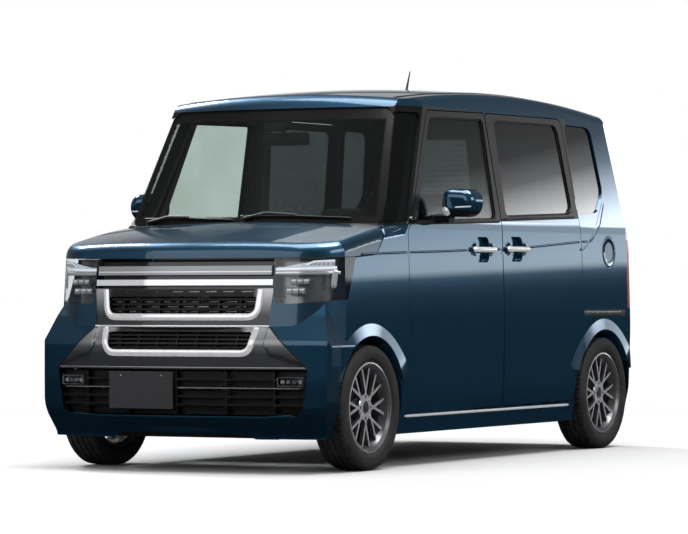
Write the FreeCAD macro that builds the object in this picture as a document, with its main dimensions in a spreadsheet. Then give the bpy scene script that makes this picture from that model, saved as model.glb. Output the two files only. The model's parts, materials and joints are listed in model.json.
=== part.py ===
import FreeCAD, Part
import Sketcher
import math
import os

# A small, tall, five-door wagon with side sliding rear doors. Millimetres.
# +Z is up, the car faces -Y, its left side is +X; the tyres stand on z = 0.

V = FreeCAD.Vector
doc = FreeCAD.newDocument("kei_car")
sheet = doc.addObject("Spreadsheet::Sheet", "dimensions")

DIMENSIONS = [
    ("overall_length", 3395), ("overall_width", 1475), ("overall_height", 1780),
    ("wheelbase", 2520), ("front_overhang", 487.5), ("track", 1305),
    ("ground_clearance", 150), ("tyre_radius", 281), ("tyre_width", 165),
    ("rim_radius", 203), ("arch_radius", 316), ("liner_radius", 350),
    ("door_wall", 80), ("sash_wall", 45), ("roof_wall", 35), ("shut_gap", 5),
    ("glass_thickness", 5), ("skin_inset", 10), ("arch_flare", 6), ("sill_height", 238),
    ("belt_height", 1105), ("door_top", 1640), ("front_door_edge", -826),
    ("door_split", 152), ("slide_door_edge", 1060), ("steering_offset", 107),
    ("steering_wheel_radius", 178), ("grip_radius", 14), ("hub_bore", 20),
    ("kingpin_radius", 13), ("running_clearance", 0.05), ("rim_width", 140),
    ("hub_radius", 46), ("lug_circle", 48), ("lug_hole", 6.5), ("spoke_spread", 11),
    ("spoke_face", 48), ("spoke_depth", 16), ("spoke_width", 13), ("bead_height", 16),
    ("tyre_rounding", 8), ("brake_radius", 118), ("engine_width", 660),
    ("engine_length", 490), ("engine_height", 470), ("tank_width", 660),
    ("tank_length", 500), ("tank_height", 110), ("tank_corner", 60), ("pipe_radius", 20),
    ("pipe_height", 175), ("beam_width", 80), ("beam_height", 70), ("seat_width", 500),
    ("seat_offset", 300), ("seat_front", -190), ("seat_depth", 470), ("seat_height", 345),
    ("cushion_height", 170), ("back_height", 530), ("cushion_rounding", 24),
    ("bench_width", 1050), ("bench_front", 750), ("bench_depth", 420),
    ("bench_height", 435), ("plate_width", 330), ("plate_height", 165),
    ("plate_thickness", 3), ("plate_hole", 3.25), ("plate_hole_spacing", 210),
]
for row, (alias, value) in enumerate(DIMENSIONS, start=1):
    sheet.set("A%d" % row, alias)
    sheet.set("B%d" % row, str(value))
    sheet.setAlias("B%d" % row, alias)
doc.recompute()


def dim(alias):
    """The value of one driving dimension."""
    return float(sheet.get(alias))


HALF_LENGTH = dim("overall_length") / 2
HALF_WIDTH = dim("overall_width") / 2
HEIGHT = dim("overall_height")
FRONT_AXLE = dim("front_overhang") - HALF_LENGTH
REAR_AXLE = FRONT_AXLE + dim("wheelbase")
AXLE_HEIGHT = dim("tyre_radius")
WHEEL_X = dim("track") / 2
KINGPIN_X = WHEEL_X - dim("steering_offset")
GAP = dim("shut_gap")
SILL = dim("sill_height")
BELT = dim("belt_height")
DOOR_TOP = dim("door_top")
DOOR_EDGE = dim("front_door_edge")
SPLIT = dim("door_split")
SLIDE_EDGE = dim("slide_door_edge")
FAR = 2 * dim("overall_width")
sub_parts = []


def add(name, shape):
    """Keep a shape that code has made as a sub-part of its own."""
    solids = shape.Solids
    whole = solids[0] if len(solids) == 1 else Part.makeCompound(solids)
    feature = doc.addObject("Part::Feature", name)
    feature.Label = name
    feature.Shape = whole
    sub_parts.append(feature)
    return whole


def rounded_face(corners, place):
    """A face whose corners (u, v, radius) are rounded; place(u, v) puts a point in space."""
    points = [V(c[0], c[1], 0) for c in corners]
    spans = []
    for i, corner in enumerate(corners):
        radius = corner[2] if len(corner) > 2 else 0
        here = points[i]
        back = points[i - 1] - here
        ahead = points[(i + 1) % len(points)] - here
        if radius <= 0:
            spans.append((here, None, here))
            continue
        half = back.getAngle(ahead) / 2
        reach = min(radius / math.tan(half), 0.49 * min(back.Length, ahead.Length))
        radius = reach * math.tan(half)
        back.normalize()
        ahead.normalize()
        inward = back + ahead
        inward.normalize()
        middle = here + inward * (radius / math.sin(half) - radius)
        spans.append((here + back * reach, middle, here + ahead * reach))
    edges = []
    for i, (start, middle, end) in enumerate(spans):
        if middle is not None:
            arc = [place(p.x, p.y) for p in (start, middle, end)]
            edges.append(Part.Arc(*arc).toShape())
        following = spans[(i + 1) % len(spans)][0]
        if (following - end).Length > 1e-6:
            line = Part.LineSegment(place(end.x, end.y), place(following.x, following.y))
            edges.append(line.toShape())
    return Part.Face(Part.Wire(edges))


def grown(corners, by):
    """An outline whose straight sides have all moved outwards."""
    count = len(corners)
    area = sum(corners[i - 1][0] * corners[i][1] - corners[i][0] * corners[i - 1][1]
               for i in range(count))
    way = by if area > 0 else -by
    sides_moved = []
    for i in range(count):
        start = V(corners[i - 1][0], corners[i - 1][1], 0)
        along = V(corners[i][0], corners[i][1], 0) - start
        along.normalize()
        sides_moved.append((start + V(along.y, -along.x, 0) * way, along))
    moved = []
    for i in range(count):
        (p, d), (q, e) = sides_moved[i], sides_moved[(i + 1) % count]
        turn = d.x * e.y - d.y * e.x
        step = ((q.x - p.x) * e.y - (q.y - p.y) * e.x) / turn
        corner = p + d * step
        radius = corners[i][2] if len(corners[i]) > 2 else 0
        bulges = turn * area > 0
        moved.append((corner.x, corner.y, max(radius + (by if bulges else -by), 0)))
    return moved


def side_prism(corners, x_from=300.0, x_to=900.0, grow=0.0):
    """A side-view outline (y, z, radius) extruded across the car."""
    if grow:
        corners = grown(corners, grow)
    outline = rounded_face(corners, lambda u, v: V(x_from, u, v))
    return outline.extrude(V(x_to - x_from, 0, 0))


def front_prism(corners, y_from, y_to, grow=0.0):
    """A front-view outline (x, z, radius) extruded along the car."""
    if grow:
        corners = grown(corners, grow)
    outline = rounded_face(corners, lambda u, v: V(u, y_from, v))
    return outline.extrude(V(0, y_to - y_from, 0))


def plan_prism(corners, z_from, z_to):
    """A plan-view outline (x, y, radius) extruded upwards."""
    outline = rounded_face(corners, lambda u, v: V(u, v, z_from))
    return outline.extrude(V(0, 0, z_to - z_from))


def box(low, high):
    """A box between two opposite corners."""
    return Part.makeBox(high[0] - low[0], high[1] - low[1], high[2] - low[2], V(*low))


def rod(start, end, radius):
    """A round bar between two points."""
    run = V(*end) - V(*start)
    return Part.makeCylinder(radius, run.Length, V(*start), run)


def mirrored(shape):
    """The same piece on the car's other side."""
    return shape.mirror(V(0, 0, 0), V(1, 0, 0))


def both(shape):
    """A left piece together with its right twin."""
    return Part.makeCompound([shape, mirrored(shape)])


def overlap(shapes):
    """What all the shapes share."""
    result = shapes[0]
    for other in shapes[1:]:
        result = result.common(other)
    return result


# ---------------------------------------------------------------- body form
# The cabin is what its surfaces enclose: two sides, the roof, the tail, the windscreen
# and the two bevels of its front pillars. The nose is the same for the bonnet and the
# front face, and the bumper flares out below it to the full width.

FLARE = dim("arch_flare")
SIDE_ROWS = [  # inset of the skin, height, rounding, wall thickness
    (46 + FLARE, 150, 30, dim("door_wall")),
    (12 + FLARE, 300, 300, dim("door_wall")),
    (FLARE, 620, 2500, dim("door_wall")),
    (14 + FLARE, BELT, 400, dim("door_wall")),
    (97, DOOR_TOP, 0, dim("sash_wall")),
]


def side_body(inset=0.0, with_wall=False):
    """Everything inside the left side's skin, moved in by an inset or by the wall."""
    rows = []
    for skin, height, rounding, wall in SIDE_ROWS:
        rows.append((HALF_WIDTH - skin - inset - (wall if with_wall else 0), height, rounding))
    (belt_x, belt_z, _), (top_x, top_z, _) = rows[-2:]
    lean = (top_x - belt_x) / (top_z - belt_z)
    outline = [(-900, -50), (rows[0][0], -50)] + rows[:-1]
    outline += [(top_x + lean * 300, top_z + 300), (-900, top_z + 300)]
    section = rounded_face(outline, lambda u, v: V(u, -2000, v))
    return section.extrude(V(0, 4000, 0))


def crowned(radius, depth, place, way):
    """A face under an arc 1800 wide, whose middle is at place(0, 0)."""
    sag = radius - math.sqrt(radius * radius - 900.0 * 900.0)
    arc = Part.Arc(place(-900, -sag * way), place(0, 0), place(900, -sag * way))
    ring = [place(900, -sag * way), place(900, -depth * way)]
    ring += [place(-900, -depth * way), place(-900, -sag * way)]
    lines = [Part.LineSegment(a, b).toShape() for a, b in zip(ring, ring[1:])]
    return Part.Face(Part.Wire([arc.toShape()] + lines))


def roof_body(inset=0.0):
    """Everything under the roof, which is crowned both ways."""
    length_radius = 10000.0
    crest = 450.0
    section = crowned(5000 - inset, 2000,
                      lambda u, v: V(u, crest, HEIGHT - inset + v), 1)
    centre = V(0, crest, HEIGHT - length_radius)
    half_angle = math.degrees(math.asin(2300 / length_radius))
    section.rotate(centre, V(1, 0, 0), -half_angle)
    return section.revolve(centre, V(1, 0, 0), 2 * half_angle)


def turned_profile(corners, centre_y, half_angle):
    """A side-view profile (y, z, radius) turned about an upright line."""
    section = rounded_face(corners, lambda u, v: V(0, u, v))
    section.rotate(V(0, centre_y, 0), V(0, 0, 1), -half_angle)
    return section.revolve(V(0, centre_y, 0), V(0, 0, 1), 2 * half_angle)


def tail_body(inset=0.0):
    """Everything ahead of the upright tail, which leans in above the waist."""
    back = HALF_LENGTH - inset
    start = back - 4200
    corners = [(start, -60), (back, -60), (back, 1040, 900),
               (back - 182, 1890), (start, 1890)]
    return turned_profile(corners, HALF_LENGTH - 15000.0, 5)


def screen_body(inset=0.0):
    """Everything behind the windscreen's surface, which curves round its upright middle."""
    section = crowned(2800 - inset, 4000, lambda u, v: V(u, v, 0), -1)
    body = section.extrude(V(0, 0, 4000))
    body.translate(V(0, inset, -2000))
    body.rotate(V(0, 0, 0), V(1, 0, 0), -28.4)
    body.translate(V(0, DOOR_EDGE - 242, 1110))
    return body


def pillar_bevel(inset=0.0):
    """Everything inside the plane that turns the left side in towards the windscreen."""
    outward = V(0.9297, -0.2524, 0.2682)
    outward.normalize()
    on_plane = V(HALF_WIDTH - 20, DOOR_EDGE + 12, BELT) - outward * inset
    block = Part.makeBox(12000, 12000, 6000, V(-6000, -6000, -6000))
    block.Placement = FreeCAD.Placement(on_plane, FreeCAD.Rotation(V(0, 0, 1), outward))
    return block


def bonnet_body(inset=0.0):
    """Everything under the bonnet's nearly flat top."""
    radius = 4500.0
    centre = V(0, DOOR_EDGE + 314, 1112 - 4459)
    section = crowned(7000 - inset, 2600,
                      lambda u, v: V(u, centre.y, centre.z + radius - inset + v), 1)
    section.rotate(centre, V(1, 0, 0), -5)
    return section.revolve(centre, V(1, 0, 0), 28)


def nose_plan(inset=0.0):
    """Everything behind the upper front face, well rounded at its corners and leaning."""
    tip = 8 - HALF_LENGTH + inset
    side = HALF_WIDTH + 2 - inset
    corners = [(side, 1000), (side, tip + 112, 240 - inset), (0, tip, 1500),
               (-side, tip + 112, 240 - inset), (-side, 1000)]
    outline = rounded_face(corners, lambda u, v: V(u, v - 0.1 * 860, -100))
    return outline.extrude(V(0, 0.1 * 1400, 1400))


BUMPER_PROFILE = [  # distance behind the foremost point, height, rounding
    (60, 170, 60), (6, 262, 120), (0, 400, 600), (3, 575, 60), (60, 690, 60),
]


def bumper_body(inset=0.0):
    """Everything behind the bumper's face; its shoulder slopes back above 575."""
    start = 700 - HALF_LENGTH
    corners = [(start, 1000), (start, -60), (60 - HALF_LENGTH + inset, -60)]
    corners += [(y - HALF_LENGTH + inset, z, r) for y, z, r in BUMPER_PROFILE]
    corners += [(270 - HALF_LENGTH + inset, 1000)]
    return turned_profile(corners, 3700 - HALF_LENGTH, 22)


def bumper_sides(inset=0.0):
    """The bumper's flared sides, with corners rounded in plan."""
    side = HALF_WIDTH - inset
    plan_nose = plan_prism([(side, -700), (side, -1652 + inset, 80 - inset), (0, -1790),
                            (-side, -1652 + inset, 80 - inset), (-side, -700)], 0, 1200)
    section = [(-side + 46, 100), (-side + 46, 150, 30), (-side + 10, 300, 200),
               (-side, 470, 100), (-side, 560, 40), (-side + 70, 760),
               (side - 70, 760), (side, 560, 40), (side, 470, 100), (side - 10, 300, 200),
               (side - 46, 150, 30), (side - 46, 100)]
    return plan_nose.common(front_prism(section, -1800, -1380))


def edges_where(shape, test):
    """The edges whose middle point passes a test."""
    chosen = []
    for edge in shape.Edges:
        middle = edge.valueAt((edge.FirstParameter + edge.LastParameter) / 2)
        if test(middle, edge.BoundBox):
            chosen.append(edge)
    return chosen


def only_solid(shape):
    """The largest solid in a shape."""
    return max(shape.Solids, key=lambda s: s.Volume)


def arch_flare(axle):
    """A cone that stands out round a left wheel arch."""
    cone = Part.makeCone(dim("arch_radius") + 98, dim("arch_radius") + 4, 2.2 * FLARE,
                         V(HALF_WIDTH - 2.2 * FLARE, axle, AXLE_HEIGHT), V(1, 0, 0))
    return cone.common(box((300, axle - 600, 400), (900, min(axle + 600, 1640), 900)))


left = side_body()
sides = left.common(mirrored(left))
bevel = pillar_bevel()
cabin_form = only_solid(overlap([tail_body(), roof_body(), sides, screen_body(), bevel,
                                 mirrored(bevel)]))
rear_corners = edges_where(cabin_form, lambda p, b: abs(p.x) > 560 and p.y > 1480
                           and 155 < p.z < 1640 and b.YLength < 190 and b.ZLength > 1)
cabin_form = cabin_form.makeFillet(55, rear_corners)
roof_edges = edges_where(cabin_form, lambda p, b: abs(p.x) > 560 and p.z > 1600
                         and b.YLength > 1000)
cabin_form = cabin_form.makeFillet(50, roof_edges)
brow = edges_where(cabin_form, lambda p, b: abs(p.x) < 50 and p.z > 1600 and p.y < 0)
cabin_form = cabin_form.makeFillet(80, brow)
nose_space = box((-900, -2000, -100), (900, DOOR_EDGE + 60, 1400))
behind_bumper = box((-900, -2000, -100), (900, -1560, 640))
nose_form = overlap([sides, bonnet_body(), nose_plan(), nose_space]).cut(behind_bumper)
nose_form = only_solid(nose_form)
bonnet_edges = edges_where(nose_form, lambda p, b: p.z > 940 and p.y < -900
                           and b.ZLength < 140 and (b.YLength > 100 or b.XLength > 100))
nose_form = nose_form.makeFillet(60, bonnet_edges)
bumper_form = only_solid(bumper_body().common(bumper_sides()))
above_sills = box((-900, -1900, dim("ground_clearance")), (900, 1900, 2000))
front_form = nose_form.fuse(bumper_form)
front_cones, rear_cones = [], []
for cones, axle in ((front_cones, FRONT_AXLE), (rear_cones, REAR_AXLE)):
    cone = arch_flare(axle)
    cones.extend([cone, mirrored(cone)])
for cone in front_cones:
    front_form = front_form.fuse(cone)
for cone in rear_cones:
    cabin_form = cabin_form.fuse(cone)

left_inside = side_body(0, True)
inside_sides = left_inside.common(mirrored(left_inside))
inner_bevel = pillar_bevel(60)
cabin_space = overlap([tail_body(60), roof_body(dim("roof_wall")), inside_sides,
                       screen_body(45), inner_bevel, mirrored(inner_bevel),
                       box((-880, -1890, 100), (880, 1890, 1990))])
nose_room = overlap([inside_sides, bonnet_body(40), nose_plan(70), nose_space])
cabin_shell = cabin_form.cut(cabin_space).common(above_sills).cut(nose_room)
nose_shell = front_form.cut(nose_room).common(above_sills).cut(cabin_space)


def skin(zone):
    """The part of both shells that lies in a zone which reaches over the two."""
    return cabin_shell.common(zone).fuse(nose_shell.common(zone))



# ---------------------------------------------------------------- outlines
FRONT_DOOR = [
    (DOOR_EDGE, SILL, 25), (DOOR_EDGE, BELT - 28, 30), (DOOR_EDGE + 28, BELT - 8, 12),
    (DOOR_EDGE + 338, DOOR_TOP - 6, 25), (SPLIT - 38, DOOR_TOP + 4, 20),
    (SPLIT - 2, BELT + 25, 60), (SPLIT - 2, SILL + 10, 25),
]
SLIDING_DOOR = [
    (SPLIT + 6, SILL + 10, 20), (SPLIT + 6, BELT + 25, 60), (SPLIT - 28, DOOR_TOP + 4, 20),
    (SLIDE_EDGE - 82, DOOR_TOP + 8, 40), (SLIDE_EDGE - 14, 1145, 60),
    (SLIDE_EDGE, 1000, 60), (SLIDE_EDGE, SILL + 15, 20),
]
FRONT_GLASS = [(-735, 1112, 20), (-471, 1606, 45), (92, 1616, 30), (100, 1139, 30)]
SLIDING_GLASS = [(212, 1150, 40), (212, 1616, 40), (930, 1620, 60), (985, 1175, 60)]
QUARTER_GLASS = [(1040, 1175, 45), (1020, 1625, 30), (1330, 1620, 60), (1385, 1290, 80),
                 (1285, 1190, 80)]
CORNER_GLASS = [(-1000, 1104, 15), (-722, 1622, 25), (-548, 1622, 15), (-820, 1106, 15)]
BONNET_FRONT = 945
BONNET_REAR = -1040
BONNET_SIDE = [(-1900, BONNET_FRONT - 5), (-1361, 952), (-1140, 966, 60),
               (BONNET_REAR, 1084), (BONNET_REAR, 1400), (-1900, 1400)]
FENDER = [(DOOR_EDGE - GAP, 100), (DOOR_EDGE - GAP, BELT - 7), (BONNET_REAR + 10, BELT - 7),
          (BONNET_REAR + 10, 1078), (-1140, 960, 60), (-1345, 947), (-1345, 940),
          (-1420, 770, 60), (-1500, 690), (-1512, 423), (-1512, 100)]
TAILGATE_REAR = [(-618, 660, 60), (618, 660, 60), (640, 1100), (575, 1660), (560, 1900),
                 (-560, 1900), (-575, 1660), (-640, 1100)]
TAILGATE_SIDE = [(1480, 600), (1480, 1640), (1518, 1900), (1900, 1900), (1900, 600)]
REAR_BUMPER = [(1585, 100), (1585, 560, 40), (1520, 654), (1900, 654), (1900, 100)]
REAR_GLASS = [(-545, 1130, 60), (545, 1130, 60), (500, 1590, 60), (-500, 1590, 60)]
SCREEN_GLASS = [(-662, 1104, 30), (662, 1104, 30), (583, 1646, 60), (-583, 1646, 60)]
LAMP_FRONT = [(466, 742, 30), (456, BONNET_FRONT + 3), (800, 960), (800, 765), (560, 745, 40)]
LAMP_REAR = [(628, 720), (650, 1100), (632, 1290), (800, 1290), (800, 700)]
FACE_OPENING = [(458, 1000), (458, 800, 60), (432, 560, 40), (470, 520, 30), (640, 470, 20),
                (640, 430), (612, 250, 50)]
UPPER_HOLE = [(385, 775, 12), (372, 700, 30)]
SECOND_HOLE = [(372, 621, 12), (352, 542, 30)]
LOWER_HOLE = [(636, 447), (606, 256, 46)]
GROOVE = [(-1150, 962), (-745, 968), (-71, 979), (771, 994), (1050, 1006, 80), (1130, 1036, 80),
          (1250, 1128, 90), (1350, 1235), (1360, 1226), (1258, 1118, 90), (1138, 1026, 80),
          (1052, 996, 80), (771, 984), (-71, 969), (-745, 958), (-1150, 952)]


def symmetric(right_side):
    """A front-view outline from the corners of its left-hand (+X) side, top to bottom."""
    return right_side + [(-c[0],) + tuple(c[1:]) for c in reversed(right_side)]


def glass_sheet(kind, opening):
    """A pane that follows the body's surface and fills an opening."""
    inset = dim("skin_inset")
    thick = dim("glass_thickness")
    return kind(inset).cut(kind(inset + thick)).common(opening)


def along_axle(axle, radius, x_from=400, x_to=900):
    """A round bar on an axle line."""
    return rod((x_from, axle, AXLE_HEIGHT), (x_to, axle, AXLE_HEIGHT), radius)


def grip_cup(y, z):
    """The two lobes of a handle recess, sunk into the door's skin."""
    lobes = []
    for height in (z + 26, z - 26):
        lobes.append(side_prism([(y - 70, height - 34, 33), (y - 70, height + 34, 33),
                                 (y + 70, height + 34, 33), (y + 70, height - 34, 33)]))
    return lobes[0].fuse(lobes[1]).cut(side_body(26))


arch_rear = along_axle(REAR_AXLE, dim("arch_radius"))
arch_front = along_axle(FRONT_AXLE, dim("arch_radius"))
above_wheel_rear = along_axle(REAR_AXLE, dim("arch_radius") + 14)
fender_zone = side_prism(FENDER, 560, 900)
belt_groove = side_prism(GROOVE).cut(side_body(5))

# ---------------------------------------------------------------- side doors
front_window = side_prism(FRONT_GLASS)
door_left = cabin_shell.common(side_prism(FRONT_DOOR)).cut(front_window).cut(belt_groove)
door_left = only_solid(door_left.cut(grip_cup(-64, 992)))
sliding_window = side_prism(SLIDING_GLASS)
sliding_left = cabin_shell.common(side_prism(SLIDING_DOOR)).cut(sliding_window).cut(belt_groove)
sliding_left = only_solid(sliding_left.cut(above_wheel_rear).cut(grip_cup(303, 997)))
front_pane = glass_sheet(side_body, front_window)
sliding_pane = glass_sheet(side_body, sliding_window)
for side, turn in (("left", lambda s: s), ("right", mirrored)):
    add("front_door_" + side, turn(door_left))
    add("door_glass_" + side, turn(front_pane))
    add("sliding_door_" + side, turn(sliding_left))
    add("sliding_glass_" + side, turn(sliding_pane))

# ---------------------------------------------------------------- tailgate
tailgate_zone = front_prism(TAILGATE_REAR, 1400, 1900).common(
    side_prism(TAILGATE_SIDE, -900, 900))
rear_window = front_prism(REAR_GLASS, 1400, 1900)
tailgate = only_solid(cabin_shell.common(tailgate_zone).cut(rear_window))
handle_pocket = front_prism([(-180, 985, 15), (180, 985, 15), (180, 930, 15), (-180, 930, 15)],
                            1600, 1900).cut(tail_body(22))
tailgate = only_solid(tailgate.cut(handle_pocket))
add("tailgate", tailgate)
add("tailgate_glass", glass_sheet(tail_body, rear_window))
spoiler = side_prism([(1522, 1690), (1526, 1738), (1600, 1722, 60), (1688, 1662, 10),
                      (1684, 1642, 8), (1590, 1652, 20)], -556, 556)
spoiler = only_solid(spoiler.common(roof_body(-6)).cut(cabin_form))
add("spoiler", spoiler)

# ---------------------------------------------------------------- bonnet and front
bonnet_zone = side_prism(BONNET_SIDE, -900, 900).cut(screen_body(-28))
bonnet = only_solid(nose_shell.common(bonnet_zone))
add("bonnet", bonnet)
STEERING_ROOM_X = 690
steering_room = along_axle(FRONT_AXLE, dim("liner_radius"), 300, STEERING_ROOM_X)
fender_left = skin(fender_zone).cut(arch_front).cut(steering_room)
fender_left = only_solid(fender_left.cut(belt_groove))
add("front_fender_left", fender_left)
add("front_fender_right", mirrored(fender_left))
lamp_zone = front_prism(LAMP_FRONT, -1900, -1345).cut(fender_zone)
lamp_zone = lamp_zone.cut(side_prism(BONNET_SIDE, -900, 900, 3))
lamp_left = only_solid(nose_shell.common(lamp_zone))
add("headlamps", both(lamp_left))
bumper_zone = side_prism([(-1900, 100), (-1900, BONNET_FRONT - 9), (-1345, 942), (-1345, 500),
                          (-1512, 350), (-1512, 100)], -900, 900)
face_opening = front_prism(symmetric(FACE_OPENING), -1900, -1400)
bumper = nose_shell.common(bumper_zone).cut(face_opening)
for piece in (fender_zone, lamp_zone, steering_room):
    bumper = bumper.cut(piece).cut(mirrored(piece))
bumper = only_solid(bumper)
add("front_bumper", bumper)


def face_layer(front, back):
    """The layer of the front face between two depths."""
    outer_skin = front_form.translated(V(0, front, 0))
    return outer_skin.cut(front_form.translated(V(0, back, 0))).common(face_window)


face_window = front_prism(symmetric(FACE_OPENING), -1900, -1560).common(
    box((-700, -1900, 200), (700, -1500, BONNET_FRONT - 9)))
mask_layer = face_layer(3, 26)
frame_layer = face_layer(0, 24)
slat_layer = face_layer(16, 40)
lower_hole = front_prism(symmetric(LOWER_HOLE), -1900, -1400)
mask_zone = box((-700, -1900, 456), (700, -1400, 812))
holes = [front_prism(symmetric(UPPER_HOLE), -1900, -1400),
         front_prism(symmetric(SECOND_HOLE), -1900, -1400)]
mask = mask_layer.common(mask_zone).cut(holes[0]).cut(holes[1])
mask = only_solid(mask)
add("grille", mask)
slats = []
for height in (720, 742, 764, 552, 570, 588, 606):
    slats.append(box((-400, -1900, height - 4), (400, -1400, height + 4)))
for x in range(-300, 301, 100):
    slats.append(box((x - 3, -1900, 530), (x + 3, -1400, 790)))
slat_block = slats[0].fuse(slats[1:]).common(holes[0].fuse(holes[1]))
slats_made = slat_block.common(slat_layer)
backing = face_layer(40, 46).common(box((-440, -1900, 500), (440, -1400, 800)))
grille_slats = only_solid(slats_made.fuse(backing))
add("grille_slats", grille_slats)
bar = box((-454, -1900, 826), (454, -1400, 852))
strip = box((-446, -1900, 872), (446, -1400, 912))
trims = [frame_layer.common(bar), frame_layer.common(strip)]
add("grille_bars", Part.makeCompound([only_solid(t) for t in trims]))
panel = face_layer(26, 44).common(box((-700, -1900, 812), (700, -1400, 930)))
add("grille_panel", only_solid(panel.cut(lamp_zone).cut(mirrored(lamp_zone))))

lower_bars = []
for height in (300, 337, 375, 412):
    lower_bars.append(box((-700, -1900, height - 5), (700, -1400, height + 5)))
for x in (-480, -250, 0, 250, 480):
    lower_bars.append(box((x - 5, -1900, 240), (x + 5, -1400, 460)))
lower_block = lower_bars[0].fuse(lower_bars[1:]).common(lower_hole)
lower_block = lower_block.common(face_layer(14, 42))
lower_backing = face_layer(42, 50).common(lower_hole)
lower_grille = only_solid(lower_block.fuse(lower_backing))
fog_zone = box((500, -1900, 380), (622, -1400, 430))
lower_grille = only_solid(lower_grille.cut(fog_zone).cut(mirrored(fog_zone)))
add("lower_grille", lower_grille)
fog_lamp = only_solid(face_layer(8, 42).common(fog_zone))
add("fog_lamps", both(fog_lamp))
cowl_zone = side_prism([(-1250, 1000), (-940, 1000), (-940, 1104), (-1250, 1104)], -650, 650)
cowl = skin(cowl_zone).cut(bonnet_zone)
cowl = only_solid(cowl.cut(fender_zone).cut(mirrored(fender_zone)))
add("cowl", cowl)

# ---------------------------------------------------------------- windscreen, quarter panes
screen_opening = front_prism(SCREEN_GLASS, -1300, -500)
windscreen = glass_sheet(screen_body, screen_opening).common(roof_body(8))
add("windscreen", windscreen)
quarter_window = side_prism(QUARTER_GLASS)
quarter_pane = glass_sheet(side_body, quarter_window)
add("quarter_glass", both(quarter_pane))
corner_window = side_prism(CORNER_GLASS, 560, 900)
corner_pane = only_solid(glass_sheet(pillar_bevel, corner_window).cut(screen_opening))
add("corner_glass", both(corner_pane))

# ---------------------------------------------------------------- rear bumper, lamps
rear_bumper_zone = side_prism(REAR_BUMPER, -900, 900)
rear_bumper = only_solid(cabin_shell.common(rear_bumper_zone).cut(
    along_axle(REAR_AXLE, dim("arch_radius") + 12)).cut(
    mirrored(along_axle(REAR_AXLE, dim("arch_radius") + 12))))
add("rear_bumper", rear_bumper)
tail_lamp_zone = front_prism(LAMP_REAR, 1610, 1900)
tail_lamp = only_solid(cabin_shell.common(tail_lamp_zone))
add("tail_lamps", both(tail_lamp))

# ---------------------------------------------------------------- roof and body sides
roof_zone = box((-585, -900, DOOR_TOP + 6), (585, 1513, 2000))
roof_panel = cabin_shell.common(roof_zone).cut(screen_opening)
tail_gap = front_prism(TAILGATE_REAR, 1400, 1900, GAP).common(
    side_prism(TAILGATE_SIDE, -900, 900, GAP))
roof_panel = only_solid(roof_panel.cut(tail_gap))
add("roof_panel", roof_panel)


def side_face(corners, grow=0.0):
    """A face from a side-view outline, in the car's middle plane."""
    return rounded_face(grown(corners, grow) if grow else corners, lambda u, v: V(0.5, u, v))


FUEL_LID_Y = 1392
FUEL_LID_Z = 991
LID_RADIUS = 80
side_region = side_face([(-1110, 140), (1900, 140), (1900, 2000), (-1110, 2000)])
ARCH = Part.Face(Part.Wire(Part.makeCircle(dim("arch_radius"), V(0.5, REAR_AXLE, AXLE_HEIGHT),
                                           V(1, 0, 0))))
for hole in (side_face(FRONT_DOOR, GAP), side_face(SLIDING_DOOR, GAP), side_face(QUARTER_GLASS),
             side_face(CORNER_GLASS), ARCH, side_face(REAR_BUMPER),
             side_face([(-1200, 100), (DOOR_EDGE - GAP, 100), (DOOR_EDGE - GAP, BELT - 7),
                        (-1030, BELT - 7), (-1030, BELT - 1), (-1200, BELT - 1)])):
    side_region = side_region.cut(hole)
side_zone = side_region.extrude(V(900, 0, 0)).common(box((545, -1200, 0), (950, 1900, 2000)))
body_side = cabin_shell.common(side_zone)
cowl_place = side_prism([(-1250, 998), (-938, 998), (-938, 1107), (-1250, 1107)], -652, 652)
for cutter in (roof_zone, screen_opening, tail_gap, tail_lamp_zone, cowl_place):
    body_side = body_side.cut(cutter)
pillar_zone = side_prism([(SPLIT - 45, 160), (SPLIT - 45, BELT), (SPLIT - 70, 1700),
                          (SPLIT + 10, 1700), (SPLIT + 45, BELT), (SPLIT + 45, 160)])
pillar_layer = side_body(-2, True).cut(side_body(48, True)).common(pillar_zone)
behind_doors = side_body(-10, True).cut(side_body(6, True)).common(
    box((300, -900, SILL - GAP), (900, 1400, DOOR_TOP + 16)))
pillar = pillar_layer.cut(behind_doors).common(roof_body(dim("roof_wall")))
body_side = only_solid(body_side.fuse(pillar))
rear_groove = belt_groove.common(box((300, SLIDE_EDGE, 900), (900, 1500, 1300)))
body_side = body_side.cut(rear_groove)
rail_slot = side_prism([(SLIDE_EDGE + GAP + 3, 701, 4), (1590, 698, 4), (1590, 688, 4),
                        (SLIDE_EDGE + GAP + 3, 691, 4)]).cut(side_body(24))
body_side = only_solid(body_side.cut(rail_slot))
lid_recess = rod((640, FUEL_LID_Y, FUEL_LID_Z), (900, FUEL_LID_Y, FUEL_LID_Z),
                 LID_RADIUS + 3).cut(side_body(24))
filler_bore = rod((500, FUEL_LID_Y, FUEL_LID_Z), (900, FUEL_LID_Y, FUEL_LID_Z), 30)
add("body_side_left", only_solid(body_side.cut(lid_recess).cut(filler_bore)))
add("body_side_right", mirrored(body_side))
lid = rod((640, FUEL_LID_Y, FUEL_LID_Z), (900, FUEL_LID_Y, FUEL_LID_Z), LID_RADIUS)
lid = only_solid(overlap([cabin_form, lid]).cut(side_body(9)))
add("fuel_lid", lid)

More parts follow.
